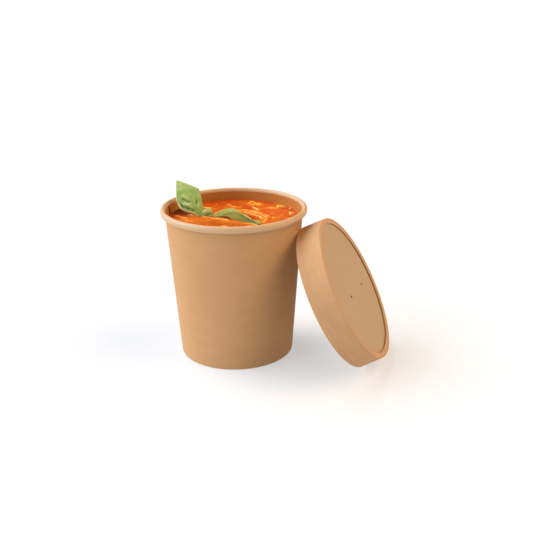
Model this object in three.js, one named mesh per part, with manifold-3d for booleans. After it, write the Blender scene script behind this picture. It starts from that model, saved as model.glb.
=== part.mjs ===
// A takeaway soup tub of brown paperboard with its vented lid leaning against its side.
// The tub holds tomato and noodle soup with a sprig of basil on top.
// Millimetres, +Z up. The tub is modelled round the Z axis, standing on z = 0.
import * as THREE from "three";
import { mergeVertices } from "three/addons/utils/BufferGeometryUtils.js";
import Module from "manifold-3d";

const wasm = await Module();
wasm.setup();

// Driving dimensions of the tub, the common size of about 480 ml
const TUB_HEIGHT = 103;
const BASE_RADIUS = 39;
const RIM_RADIUS = 49.3;
const RIM_ROLL_HEIGHT = 4.6;
const NECK_RADIUS = 46.2;
const BOARD = 0.6;
const SEGMENTS = 56;

// The board folds inward under the base and up round the base disc's flange
const HEM_HEIGHT = 6;
const FOLD_RADIUS = 0.35;
const FIT_GAP = 0.12;
const FLANGE_BOARD = 0.5;
const BASE_FLANGE_FOOT = 1.2;
const BASE_TOP = 7.2;

// Where the tub's side is glued, as an angle from +X
const SEAM_ANGLE = 168.5;
const SEAM_LAP = 8;
const SEAM_STEP = 0.5;

// Contents
const SOUP_LEVEL = 94.3;
const SOUP_GAP = 0.15;
const WETTING_HEIGHT = 0.5;
const WETTING_REACH = 1.4;
const NOODLE_RADIUS = 0.85;
const NOODLE_SIDES = 8;
const NOODLE_STEP = 2.6;
const NOODLE_DIP = 0.3;
const NOODLE_SWAY = 0.2;
const NOODLE_SWAY_TURN = 1.7;
const SPRIG_GAP = 0.3;
const LEAF_THICK = 0.6;
const LEAF_EDGE_THINNING = 0.4;
const LEAF_FULL_BULGE_WIDTH = 4;
const YOUNG_LEAF_BOW = 0.9;
const STEM_RADIUS = 0.9;
const MORSEL_DEPTH = 2.2;

// Lid, in its own frame: z runs from its open end to its face
const LID_HEIGHT = 17;
const LID_MOUTH_RADIUS = 50.6;
const LID_FACE_RADIUS = 50;
const LID_BOARD = 0.7;
const LID_BEAD_HEIGHT = 1.6;
const LID_CORNER = 1;
const LID_EDGE_SOFTNESS = 0.4;
const LIP_WIDTH = 3.7;
const LIP_THICK = 1.35;
const LIP_DROP = 0.6;
const LID_GAP = 0.3;
const DISC_BOARD = 0.6;
const DISC_CORNER = 1;
const DISC_FLANGE_FOOT = 3;
const VENT_RADIUS = 0.95;
const VENTS = [
  [-14, -1],
  [19.5, -5.2],
];
const LID_SEAM_ANGLE = -90.3;
const LID_SEAM_LAP = 12;

// Where the leaning lid stands: the centre of its open end over the table, and how its face
// is turned about Z and then tilted up
const LID_X = 66.55;
const LID_Y = -19.67;
const LID_TURN = -13.61;
const LID_TILT = 27.99;

const DEGREE = Math.PI / 180;
const TAPER = (NECK_RADIUS - BASE_RADIUS) / (TUB_HEIGHT - RIM_ROLL_HEIGHT);
const wallOuter = (z) => BASE_RADIUS + TAPER * z;
const wallInner = (z) => wallOuter(z) - BOARD;

const MATERIALS = {
  paperboard: new THREE.MeshStandardMaterial({ color: 0xc99a68, roughness: 0.85, metalness: 0 }),
  baseBoard: new THREE.MeshStandardMaterial({ color: 0xc0905f, roughness: 0.85, metalness: 0 }),
  lidBoard: new THREE.MeshStandardMaterial({ color: 0xd2a577, roughness: 0.8, metalness: 0 }),
  discBoard: new THREE.MeshStandardMaterial({ color: 0xc49a6c, roughness: 0.85, metalness: 0 }),
  soup: new THREE.MeshStandardMaterial({ color: 0xd8541b, roughness: 0.3, metalness: 0 }),
  basil: new THREE.MeshStandardMaterial({ color: 0x6f9a3c, roughness: 0.5, metalness: 0 }),
};

// A closed geometry as a solid that can be joined and cut, with its faces pointing out
function solid(geometry) {
  const bare = geometry.clone();
  bare.deleteAttribute("normal");
  bare.deleteAttribute("uv");
  const merged = mergeVertices(bare, 1e-4);
  const corners = Uint32Array.from(merged.index.array);
  const points = Float32Array.from(merged.attributes.position.array);
  const body = new wasm.Manifold(new wasm.Mesh({ numProp: 3, vertProperties: points, triVerts: corners }));
  if (body.volume() > 0) return body;
  for (let i = 0; i < corners.length; i += 3) {
    [corners[i], corners[i + 1]] = [corners[i + 1], corners[i]];
  }
  return new wasm.Manifold(new wasm.Mesh({ numProp: 3, vertProperties: points, triVerts: corners }));
}

// The solid as one named mesh; scraps that a cut has set free are dropped
function piece(name, body, material) {
  const whole = body.decompose().sort((a, b) => b.volume() - a.volume())[0];
  const data = whole.getMesh();
  const geometry = new THREE.BufferGeometry();
  geometry.setAttribute("position", new THREE.BufferAttribute(data.vertProperties, 3));
  geometry.setIndex(new THREE.BufferAttribute(data.triVerts, 1));
  geometry.computeVertexNormals();
  const mesh = new THREE.Mesh(geometry, material);
  mesh.name = name;
  return mesh;
}

// Points [r, z] of an elliptical arc
function arc(r, z, radiusR, radiusZ, from, to, steps) {
  const points = [];
  for (let i = 0; i <= steps; i++) {
    const angle = (from + ((to - from) * i) / steps) * DEGREE;
    points.push([r + radiusR * Math.cos(angle), z + radiusZ * Math.sin(angle)]);
  }
  return points;
}

// A closed outline turned about the Z axis; it closes on itself or runs from axis to axis
function turned(outline) {
  const onAxis = outline[0][0] === 0;
  const points = outline.map(([r, z]) => new THREE.Vector2(r, z));
  if (!onAxis) points.push(points[0].clone());
  const geometry = new THREE.LatheGeometry(points, SEGMENTS);
  geometry.rotateX(Math.PI / 2);
  return solid(geometry);
}

// The outline of a sheet of even thickness that follows a line of [r, z] points
function sheetOutline(line, thickness) {
  const sideA = [];
  const sideB = [];
  line.forEach(([r, z], i) => {
    const before = line[Math.max(i - 1, 0)];
    const after = line[Math.min(i + 1, line.length - 1)];
    const into = new THREE.Vector2(r - before[0], z - before[1]).normalize();
    const out = new THREE.Vector2(after[0] - r, after[1] - z).normalize();
    const along = into.clone().add(out).normalize();
    const turn = Math.max(along.dot(i > 0 ? into : out), 0.5);
    const half = thickness / 2 / turn;
    sideA.push([r - along.y * half, z + along.x * half]);
    sideB.push([r + along.y * half, z - along.x * half]);
  });
  return [...sideA, ...sideB.reverse()];
}

// A box bent round the Z axis: a patch of wall between two angles, two heights and two radii
function wallPatch(angleFrom, angleTo, zFrom, zTo, innerRadius, outerRadius) {
  const geometry = new THREE.BoxGeometry(1, 1, 1, 4, 1, 1);
  const place = geometry.attributes.position;
  for (let i = 0; i < place.count; i++) {
    const angle = (angleFrom + (angleTo - angleFrom) * (place.getX(i) + 0.5)) * DEGREE;
    const z = zFrom + (zTo - zFrom) * (place.getZ(i) + 0.5);
    const radius = place.getY(i) < 0 ? innerRadius(z) : outerRadius(z);
    place.setXYZ(i, radius * Math.cos(angle), radius * Math.sin(angle), z);
  }
  return solid(geometry);
}

// The wall is one sheet: hem inside the base, fold, tapered side and rolled rim.
// Its glued seam is a second layer of board towards the back.
function tubWall() {
  const half = BOARD / 2;
  const hemRadius = wallInner(0) - 2 * FIT_GAP - FLANGE_BOARD - half;
  const sideRadius = (z) => wallOuter(z) - half;
  const foldZ = half + FOLD_RADIUS;
  const rollA = (RIM_RADIUS - half - sideRadius(TUB_HEIGHT - RIM_ROLL_HEIGHT / 2)) / 2;
  const rollB = RIM_ROLL_HEIGHT / 2 - half;
  const line = [
    [hemRadius + TAPER * HEM_HEIGHT, HEM_HEIGHT],
    ...arc(hemRadius + FOLD_RADIUS, foldZ, FOLD_RADIUS, FOLD_RADIUS, 180, 270, 2),
    ...arc(sideRadius(foldZ) - FOLD_RADIUS, foldZ, FOLD_RADIUS, FOLD_RADIUS, 270, 360, 2),
    ...arc(RIM_RADIUS - half - rollA, TUB_HEIGHT - half - rollB, rollA, rollB, 180, -112, 10),
  ];
  const wall = turned(sheetOutline(line, BOARD));
  const lapAngle = SEAM_LAP / NECK_RADIUS / DEGREE;
  const middle = (z) => wallOuter(z) - half;
  const proud = (z) => wallOuter(z) + SEAM_STEP;
  const lapTop = TUB_HEIGHT - RIM_ROLL_HEIGHT - BOARD;
  const lap = wallPatch(SEAM_ANGLE - lapAngle, SEAM_ANGLE, BOARD, lapTop, middle, proud);
  return piece("cup_wall", wall.add(lap), MATERIALS.paperboard);
}

// The base disc sits above the table, and its edge turns down between the wall and the hem
function tubBase() {
  const outside = (z) => wallInner(z) - FIT_GAP;
  const inside = (z) => outside(z) - FLANGE_BOARD;
  const underside = BASE_TOP - BOARD;
  const outline = [
    [0, underside],
    [inside(underside) - FOLD_RADIUS, underside],
    [inside(underside - FOLD_RADIUS), underside - FOLD_RADIUS],
    [inside(BASE_FLANGE_FOOT), BASE_FLANGE_FOOT],
    [outside(BASE_FLANGE_FOOT), BASE_FLANGE_FOOT],
    [outside(BASE_TOP - 2 * FOLD_RADIUS), BASE_TOP - 2 * FOLD_RADIUS],
    [outside(BASE_TOP) - 2 * FOLD_RADIUS, BASE_TOP],
    [0, BASE_TOP],
  ];
  return piece("cup_base", turned(outline), MATERIALS.baseBoard);
}

// A round rod that follows a curve, closed at both ends
function rod(curve, radius, steps) {
  const section = new THREE.Shape();
  for (let i = 0; i <= NOODLE_SIDES; i++) {
    const angle = (i / NOODLE_SIDES) * 2 * Math.PI;
    const x = radius * Math.cos(angle);
    const y = radius * Math.sin(angle);
    if (i === 0) section.moveTo(x, y);
    else section.lineTo(x, y);
  }
  return solid(new THREE.ExtrudeGeometry(section, { steps, bevelEnabled: false, extrudePath: curve }));
}

// The value at a place from 0 to 1 in a table of [place, value] pairs
function reading(table, place) {
  const next = table.findIndex(([stop]) => stop > 0 && stop >= place);
  const [[start, from], [end, to]] = table.slice(next - 1, next + 1);
  return from + ((to - from) * (place - start)) / (end - start);
}

// A thin leaf blade on a midrib curve. Each half has tables, from base to tip, of its width and
// of how many degrees it slopes down from the midrib. Both faces carry the same triangles.
function leaf({ midrib, across, halves, bulge, steps, cells, grow }) {
  const curve = new THREE.CatmullRomCurve3(midrib);
  const top = [];
  const under = [];
  for (let i = 0; i <= steps; i++) {
    const u = i / steps;
    const along = curve.getTangentAt(u);
    const side = across.clone().addScaledVector(along, -across.dot(along)).normalize();
    const up = new THREE.Vector3().crossVectors(side, along);
    const past = i === 0 ? -grow : i === steps ? grow : 0;
    const centre = curve.getPointAt(u).addScaledVector(along, past);
    for (let j = -cells; j <= cells; j++) {
      const half = halves[j < 0 ? 0 : 1];
      const share = Math.abs(j) / cells;
      const width = reading(half.width, u);
      const slope = reading(half.slope, u) * DEGREE;
      const reach = share * (width + grow);
      const rise = bulge * Math.min(width / LEAF_FULL_BULGE_WIDTH, 1) * Math.sin(Math.PI * share);
      const point = centre.clone().addScaledVector(side, Math.sign(j) * reach * Math.cos(slope));
      point.addScaledVector(up, rise - reach * Math.sin(slope));
      const body = LEAF_THICK * (1 - LEAF_EDGE_THINNING * share * share) + 2 * grow;
      top.push(point.clone().addScaledVector(up, body / 2));
      under.push(point.clone().addScaledVector(up, -body / 2));
    }
  }
  const last = 2 * cells;
  const row = last + 1;
  const count = top.length;
  const corners = [];
  const quad = (a, b, c, d) => corners.push(a, b, c, a, c, d);
  for (let i = 0; i < steps; i++) {
    for (let j = 0; j < last; j++) {
      const a = i * row + j;
      quad(a, a + 1, a + row + 1, a + row);
      corners.push(count + a, count + a + row + 1, count + a + 1);
      corners.push(count + a, count + a + row, count + a + row + 1);
    }
    const left = i * row;
    const right = left + last;
    quad(left, left + row, count + left + row, count + left);
    quad(right, count + right, count + right + row, right + row);
  }
  for (let j = 0; j < last; j++) {
    const tip = steps * row + j;
    quad(j, count + j, count + j + 1, j + 1);
    quad(tip, tip + 1, count + tip + 1, count + tip);
  }
  const geometry = new THREE.BufferGeometry();
  const flat = [...top, ...under].flatMap((p) => [p.x, p.y, p.z]);
  geometry.setAttribute("position", new THREE.BufferAttribute(new Float32Array(flat), 3));
  geometry.setIndex(corners);
  return solid(geometry);
}

const at = (x, y, z) => new THREE.Vector3(x, y, z);

// The basil sprig: one tall leaf that leans back over the rim, one long leaf that arches over
// the soup, two young leaves between them, and the stem that carries all four
const TALL_LEAF = {
  midrib: [at(-23.3, 4.5, 94.7), at(-27.7, 6.6, 101.2), at(-33.5, 10, 109.2), at(-39.4, 14, 117.2)],
  across: at(0.81, 0.21, 0.55),
  halves: [
    {
      width: [[0, 0.5], [0.1, 2.2], [0.27, 6.5], [0.42, 8.7], [0.6, 7.4], [0.8, 4.3], [1, 0.4]],
      slope: [[0, 20], [0.5, 12], [1, 4]],
    },
    {
      width: [[0, 0.6], [0.1, 4.3], [0.36, 7.8], [0.53, 9.5], [0.74, 6], [1, 0.4]],
      slope: [[0, 25], [0.5, 10], [1, 4]],
    },
  ],
  bulge: 1,
  steps: 12,
  cells: 3,
};
const LONG_LEAF = {
  midrib: [
    at(-15.4, 4.6, 94.3),
    at(-9.6, 4.1, 95.6),
    at(-4.3, 2.4, 98),
    at(-1.6, 1, 98.9),
    at(2.9, -1.8, 98.8),
    at(7.6, -4.8, 97.6),
    at(11.5, -8.6, 96.2),
    at(18.2, -15.6, 95.2),
  ],
  across: at(-0.45, -0.89, 0),
  halves: [
    {
      width: [[0, 0.4], [0.1, 3.9], [0.2, 4.4], [0.33, 4], [0.65, 4.4], [0.8, 4], [1, 0.4]],
      slope: [[0, -35], [0.2, -30], [0.33, -14], [0.5, 18], [0.7, 45], [0.85, 5], [1, 0]],
    },
    {
      width: [[0, 0.4], [0.1, 1.3], [0.35, 4.6], [0.5, 6], [0.65, 5.6], [0.8, 4.4], [1, 0.4]],
      slope: [[0, 10], [0.2, 40], [0.5, 48], [0.8, 38], [1, 8]],
    },
  ],
  bulge: 0.2,
  steps: 14,
  cells: 3,
};

// A small upright leaf, from its foot to its tip, with the greatest width of each half
function youngLeaf(foot, tip, widths, grow) {
  const middle = foot.clone().lerp(tip, 0.5);
  middle.y -= YOUNG_LEAF_BOW;
  const halves = widths.map((width) => ({
    width: [[0, 0.6 * width], [0.3, width], [0.6, 0.85 * width], [1, 0.2 * width]],
    slope: [[0, 20], [1, 12]],
  }));
  const across = at(0.97, 0.2, 0.1);
  return leaf({ midrib: [foot, middle, tip], across, halves, bulge: 0.3, steps: 5, cells: 2, grow });
}

function sprig(grow) {
  const node = at(-19.2, 4.8, SOUP_LEVEL - 0.4);
  const stemRadius = STEM_RADIUS + grow;
  const stem = new THREE.CatmullRomCurve3([at(-12.5, 1, 84 - grow), at(-16.5, 3.6, 90), node]);
  const stalks = new THREE.CatmullRomCurve3([
    at(-23.9 - grow, 4.8, 95.5 + grow / 2),
    at(-21.5, 4.6, 94.3),
    node,
    at(-17, 5, 94.2),
    at(-14.8 + grow, 5, 94.7),
  ]);
  const parts = [
    rod(stem, stemRadius, 5),
    rod(stalks, stemRadius, 9),
    leaf({ ...TALL_LEAF, grow }),
    leaf({ ...LONG_LEAF, grow }),
    youngLeaf(at(-20.4, 5, 94.2), at(-18.3, 5.5, 99.7), [2.1, 2.7], grow),
    youngLeaf(at(-17.2, 5.9, 94.2), at(-15.7, 6, 99.8), [3.4, 1.9], grow),
  ];
  return parts.reduce((all, part) => all.add(part));
}

// A noodle that lies in the surface: how high it floats, and the points that it passes
function noodle([lift, path]) {
  const curve = new THREE.CatmullRomCurve3(path.map(([x, y]) => at(x, y, 0)));
  const steps = Math.max(Math.round(curve.getLength() / NOODLE_STEP), 2);
  const points = curve.getSpacedPoints(steps).map((point, i) => {
    const sway = NOODLE_SWAY * Math.sin(NOODLE_SWAY_TURN * i + path[0][0]);
    return point.setZ(SOUP_LEVEL + lift - NOODLE_DIP + sway);
  });
  return rod(new THREE.CatmullRomCurve3(points), NOODLE_RADIUS, steps);
}

// Small cubes of vegetable that float in the soup
function morsel([x, y, width, depth, turn]) {
  const geometry = new THREE.BoxGeometry(width, depth, MORSEL_DEPTH);
  geometry.rotateZ(turn * DEGREE);
  geometry.translate(x, y, SOUP_LEVEL);
  return solid(geometry);
}

// Noodles that show in the open half of the tub
const SHOWN_NOODLES = [
  [0.3, [[23.4, 23.6], [27.8, 22.6], [30.3, 25], [35.4, 25.7]]],
  [0.1, [[24.2, 22.4], [27, 21.8], [29.4, 21.6]]],
  [0.2, [[0.8, 17.2], [6.5, 16.8], [11.6, 15], [17.3, 8.5], [21.6, 1.1], [22.5, -7]]],
  [0.1, [[1.9, 14.6], [8.1, 12.9], [13.4, 8], [17.4, 1.8], [19, -3.6]]],
  [0.15, [[6.9, 9.6], [11.8, 7.6], [16.6, 3], [20.9, -3.6], [20.6, -8.4], [17, -10.2]]],
  [-0.05, [[1.6, 19.4], [8, 18.8], [14.8, 14.2], [20.4, 7.6], [24.6, 0.6]]],
  [0.45, [[8.2, 33.8], [10.2, 39], [12.8, 36.6], [14.4, 33.4], [17.8, 30.2]]],
  [0.3, [[9.4, 32.6], [12.2, 32], [15.6, 33.8], [18.6, 33.2]]],
  [0.2, [[11.6, 26.8], [13.4, 23.2], [16.2, 18.4]]],
  [0.15, [[-3.4, 27.6], [-0.4, 26.4], [3.4, 26.2]]],
  [0.25, [[-41.2, 6.8], [-38.6, 3.8], [-35.4, -0.6], [-31.4, -5.6]]],
  [0.05, [[-38.4, 0.6], [-35.4, -3.4], [-30.6, -8]]],
  [0.15, [[-24, 25.6], [-19.8, 24.6], [-15.6, 24.2]]],
  [0.2, [[-33, 8.8], [-29.6, 6.8], [-25.2, 4.2]]],
  [0.2, [[-15.6, -0.8], [-9.2, -2.7], [-3.2, -6]]],
  [0.15, [[5.8, -13], [10.4, -13.8], [14.4, -16], [17.4, -19.4]]],
];
const MORSELS = [
  [39.2, 9.8, 4, 4.2, 20],
  [27.8, -0.8, 4.6, 2.6, 4],
  [38.6, 20.4, 2.4, 1.6, 15],
  [-27, -22, 3.6, 2.8, 30],
  [22, -30, 3.4, 2.6, 70],
  [-6, -28, 3, 2.6, 10],
];

// Noodles in the part of the surface that the near rim hides, drawn by a fixed rule
function hiddenNoodles() {
  const COUNT = 8;
  const FROM = 205;
  const SPAN = 130;
  const POINTS = 5;
  let seed = 7;
  const draw = () => {
    seed = (seed * 16807) % 2147483647;
    return seed / 2147483647;
  };
  const list = [];
  for (let i = 0; i < COUNT; i++) {
    const angle = (FROM + (SPAN * (i + 0.5)) / COUNT) * DEGREE;
    const radius = 22 + 14 * draw();
    const stride = 2.5 + 2.5 * draw();
    const bend = draw() - 0.5;
    let heading = 2 * Math.PI * draw();
    const path = [[radius * Math.cos(angle), radius * Math.sin(angle)]];
    while (path.length < POINTS) {
      const [x, y] = path.at(-1);
      path.push([x + stride * Math.cos(heading), y + stride * Math.sin(heading)]);
      heading += bend;
    }
    list.push([0.1, path]);
  }
  return list;
}

// The soup fills the tub from the base to its level, with a low rim where it wets the board
function soup() {
  const radius = (z) => wallInner(z) - SOUP_GAP;
  const foot = BASE_TOP + SOUP_GAP;
  const outline = [
    [0, foot],
    [radius(foot), foot],
    [radius(SOUP_LEVEL + WETTING_HEIGHT), SOUP_LEVEL + WETTING_HEIGHT],
    [radius(SOUP_LEVEL) - WETTING_REACH, SOUP_LEVEL],
    [0, SOUP_LEVEL],
  ];
  const room = turned([
    [0, foot],
    [radius(foot), foot],
    [radius(TUB_HEIGHT), TUB_HEIGHT],
    [0, TUB_HEIGHT],
  ]);
  const noodles = [...SHOWN_NOODLES, ...hiddenNoodles()].map(noodle);
  const toppings = [...noodles, ...MORSELS.map(morsel)].map((body) => body.intersect(room));
  const filled = toppings.reduce((all, body) => all.add(body), turned(outline));
  return piece("soup", filled.subtract(sprig(SPRIG_GAP)), MATERIALS.soup);
}

// The lid's ring: a tapered band with a bead inside its open end, and its upper edge
// folded in over the disc as a lip that slopes down inward. The band's glued ends overlap.
function lidRing() {
  const slope = (LID_FACE_RADIUS - LID_MOUTH_RADIUS) / LID_HEIGHT;
  const outer = (z) => LID_MOUTH_RADIUS + slope * z;
  const inner = (z) => outer(z) - LID_BOARD;
  const lipEdge = LID_FACE_RADIUS - LIP_WIDTH;
  const lipFoot = LID_HEIGHT - LIP_THICK;
  const lipHalf = (LIP_THICK - LIP_DROP) / 2;
  const bead = LID_MOUTH_RADIUS - LID_BEAD_HEIGHT;
  const soft = LID_EDGE_SOFTNESS;
  const outline = [
    [bead + soft, 0],
    [outer(0) - soft, 0],
    [outer(soft), soft],
    ...arc(LID_FACE_RADIUS - LID_CORNER, LID_HEIGHT - LID_CORNER, LID_CORNER, LID_CORNER, 0, 90, 3),
    ...arc(lipEdge + lipHalf, lipFoot + lipHalf, lipHalf, lipHalf, 90, 270, 4),
    [inner(lipFoot) - LID_BOARD, lipFoot],
    [inner(lipFoot - LID_BOARD), lipFoot - LID_BOARD],
    [inner(LID_BEAD_HEIGHT + LID_BOARD), LID_BEAD_HEIGHT + LID_BOARD],
    [bead, LID_BEAD_HEIGHT - soft],
    [bead, soft],
  ];
  const ring = turned(outline);
  const lapAngle = LID_SEAM_LAP / LID_FACE_RADIUS / DEGREE;
  const middle = (z) => outer(z) - LID_BOARD / 2;
  const proud = (z) => outer(z) + SEAM_STEP;
  const top = LID_HEIGHT - LID_CORNER;
  const lap = wallPatch(LID_SEAM_ANGLE, LID_SEAM_ANGLE + lapAngle, soft, top, middle, proud);
  return piece("lid_ring", ring.add(lap), MATERIALS.lidBoard);
}

// The lid's disc lies just under the lip; its edge turns down inside the band, and two small
// vents go through it
function lidDisc() {
  const slope = (LID_FACE_RADIUS - LID_MOUTH_RADIUS) / LID_HEIGHT;
  const outside = (z) => LID_MOUTH_RADIUS + slope * z - LID_BOARD - LID_GAP;
  const inside = (z) => outside(z) - DISC_BOARD;
  const top = LID_HEIGHT - LIP_THICK - LID_GAP;
  const underside = top - DISC_BOARD;
  const corner = DISC_CORNER;
  const outline = [
    [0, underside],
    [inside(underside) - corner + DISC_BOARD, underside],
    [inside(underside - corner + DISC_BOARD), underside - corner + DISC_BOARD],
    [inside(DISC_FLANGE_FOOT), DISC_FLANGE_FOOT],
    [outside(DISC_FLANGE_FOOT), DISC_FLANGE_FOOT],
    ...arc(outside(top - corner) - corner, top - corner, corner, corner, 0, 90, 2),
    [0, top],
  ];
  const vents = VENTS.map(([x, y]) => {
    const drill = new THREE.CylinderGeometry(VENT_RADIUS, VENT_RADIUS, 4 * DISC_BOARD, 10);
    drill.rotateX(Math.PI / 2);
    drill.translate(x, y, top);
    return solid(drill);
  });
  const disc = vents.reduce((body, vent) => body.subtract(vent), turned(outline));
  return piece("lid_disc", disc, MATERIALS.discBoard);
}

const tub = new THREE.Group();
tub.add(tubWall(), tubBase(), soup(), piece("basil_sprig", sprig(0), MATERIALS.basil));

const lid = new THREE.Group();
lid.add(lidRing(), lidDisc());
const faceNormal = at(
  Math.cos(LID_TURN * DEGREE) * Math.cos(LID_TILT * DEGREE),
  Math.sin(LID_TURN * DEGREE) * Math.cos(LID_TILT * DEGREE),
  Math.sin(LID_TILT * DEGREE),
);
const level = at(-Math.sin(LID_TURN * DEGREE), Math.cos(LID_TURN * DEGREE), 0);
const upslope = new THREE.Vector3().crossVectors(faceNormal, level);
lid.setRotationFromMatrix(new THREE.Matrix4().makeBasis(level, upslope, faceNormal));
lid.position.set(LID_X, LID_Y, 0);
lid.updateMatrixWorld(true);
lid.position.z -= new THREE.Box3().setFromObject(lid, true).min.z;

// The origin goes to the middle of the whole thing's footprint
const model = new THREE.Group();
model.add(tub, lid);
model.updateMatrixWorld(true);
const middle = new THREE.Box3().setFromObject(model, true).getCenter(at(0, 0, 0));
model.position.set(-middle.x, -middle.y, 0);
model.updateMatrixWorld(true);

export default model;
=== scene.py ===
"""A takeaway soup tub of brown paperboard, filled with tomato and noodle soup and a sprig of basil,
with its vented lid leaning against its side. Lengths are millimetres from the tub's axis and the
table, and each finished mesh is moved to the frame, which is in metres."""

import math
import random

import bmesh
import bpy
import numpy as np
from mathutils import Matrix, Vector
from mathutils.kdtree import KDTree
from mathutils.noise import noise


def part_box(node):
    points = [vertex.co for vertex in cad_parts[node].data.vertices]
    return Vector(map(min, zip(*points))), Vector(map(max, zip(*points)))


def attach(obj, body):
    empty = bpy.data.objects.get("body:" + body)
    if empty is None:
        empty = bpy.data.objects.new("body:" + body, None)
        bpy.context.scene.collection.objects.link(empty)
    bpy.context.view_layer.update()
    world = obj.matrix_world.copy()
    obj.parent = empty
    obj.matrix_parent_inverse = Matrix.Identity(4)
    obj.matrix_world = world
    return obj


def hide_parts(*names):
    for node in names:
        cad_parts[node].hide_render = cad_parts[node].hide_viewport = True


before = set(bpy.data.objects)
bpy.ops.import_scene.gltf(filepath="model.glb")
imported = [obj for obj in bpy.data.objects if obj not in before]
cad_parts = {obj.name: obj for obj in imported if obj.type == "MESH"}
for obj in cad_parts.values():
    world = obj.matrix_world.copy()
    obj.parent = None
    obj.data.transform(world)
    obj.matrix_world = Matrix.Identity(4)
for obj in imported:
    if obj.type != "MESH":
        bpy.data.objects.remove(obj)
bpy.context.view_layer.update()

# The tub's wall: one sheet of brown paperboard with a thin inner lining. The flat blank is bent
# round and its ends are glued one over the other, its lower edge is folded in round the base,
# and its upper edge is rolled outward into the rim.
TUB_HEIGHT = 103.0
BASE_RADIUS = 39.0
RIM_RADIUS = 49.3
RIM_ROLL_HEIGHT = 4.6
NECK_RADIUS = 46.2
BOARD = 0.6
HEM_HEIGHT = 6.0
FOLD_RADIUS = 0.35
FIT_GAP = 0.12
FLANGE_BOARD = 0.5
SEAM_START = 158.5
SEAM_LAP = 8.0
SEAM_STEP = 0.5
WALL_COLUMNS = 400
CUT_EDGE_REACH = 1.6
FOLD_STEPS = 5
ROLL_STEPS = 30
ROLL_END = -112
ROLL_SEAM_PART = 0.5
SIDE_HEIGHTS = range(4, 98, 6)
TAPER = (NECK_RADIUS - BASE_RADIUS) / (TUB_HEIGHT - RIM_ROLL_HEIGHT)

low, high = (Vector(corner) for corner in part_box("cup_wall"))
tub_axis = Vector(((low.x + high.x) / 2, (low.y + high.y) / 2, 0))
TUB_TO_FRAME = Matrix.Translation(tub_axis) @ Matrix.Scale(0.001, 4)


def wall_outer(z):
    return BASE_RADIUS + TAPER * z


def wall_inner(z):
    return wall_outer(z) - BOARD


def arc(r, z, radius_r, radius_z, start, end, steps):
    """Points (r, z) of an elliptical arc, angles in degrees."""
    angles = [math.radians(start + (end - start) * i / steps) for i in range(steps + 1)]
    return [(r + radius_r * math.cos(a), z + radius_z * math.sin(a)) for a in angles]


def sheet_sides(line, thickness):
    """Both sides of a sheet of even thickness that follows a line of (r, z) points."""
    near, far = [], []
    for i, point in enumerate(line):
        here = Vector(point)
        into = (here - Vector(line[max(i - 1, 0)])).normalized()
        out = (Vector(line[min(i + 1, len(line) - 1)]) - here).normalized()
        along = (into + out).normalized()
        half = thickness / 2 / max(along.dot(into if i else out), 0.5)
        side = Vector((-along.y, along.x)) * half
        near.append(tuple(here + side))
        far.append(tuple(here - side))
    return near, far


def wire(tree, kind, inputs=None, **settings):
    """A new node of a tree, its inputs filled by name or number with sockets or plain values."""
    made = tree.nodes.new(kind)
    for key, value in settings.items():
        setattr(made, key, value)
    for key, value in (inputs or {}).items():
        if isinstance(value, bpy.types.NodeSocket):
            tree.links.new(value, made.inputs[key])
        else:
            made.inputs[key].default_value = value
    return made


def maths(tree, operation, *values):
    return wire(tree, "ShaderNodeMath", dict(enumerate(values)), operation=operation).outputs[0]


def new_tree(name, sizes):
    """An empty geometry tree with named inputs, and the outputs of its input node."""
    tree = bpy.data.node_groups.new(name, "GeometryNodeTree")
    tree.interface.new_socket("Geometry", in_out="INPUT", socket_type="NodeSocketGeometry")
    tree.interface.new_socket("Geometry", in_out="OUTPUT", socket_type="NodeSocketGeometry")
    for label, kind in sizes.items():
        tree.interface.new_socket(label, in_out="INPUT", socket_type="NodeSocket" + kind)
    return tree, tree.nodes.new("NodeGroupInput").outputs


def named(tree, attribute):
    found = wire(tree, "GeometryNodeInputNamedAttribute", {"Name": attribute}, data_type="FLOAT")
    return found.outputs["Attribute"]


def mapped(tree, value, *ends):
    """A value carried from one range to another: the ends of the first, then of the second."""
    return wire(tree, "ShaderNodeMapRange", {0: value, **dict(enumerate(ends, 1))}).outputs[0]


def finished(tree, geometry, material):
    """A geometry tree with its end: the result made real, in its material."""
    real = wire(tree, "GeometryNodeRealizeInstances", {"Geometry": geometry})
    skinned = wire(tree, "GeometryNodeSetMaterial", {"Geometry": real.outputs[0], "Material": material})
    tree.links.new(skinned.outputs[0], tree.nodes.new("NodeGroupOutput").inputs[0])
    return tree


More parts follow.
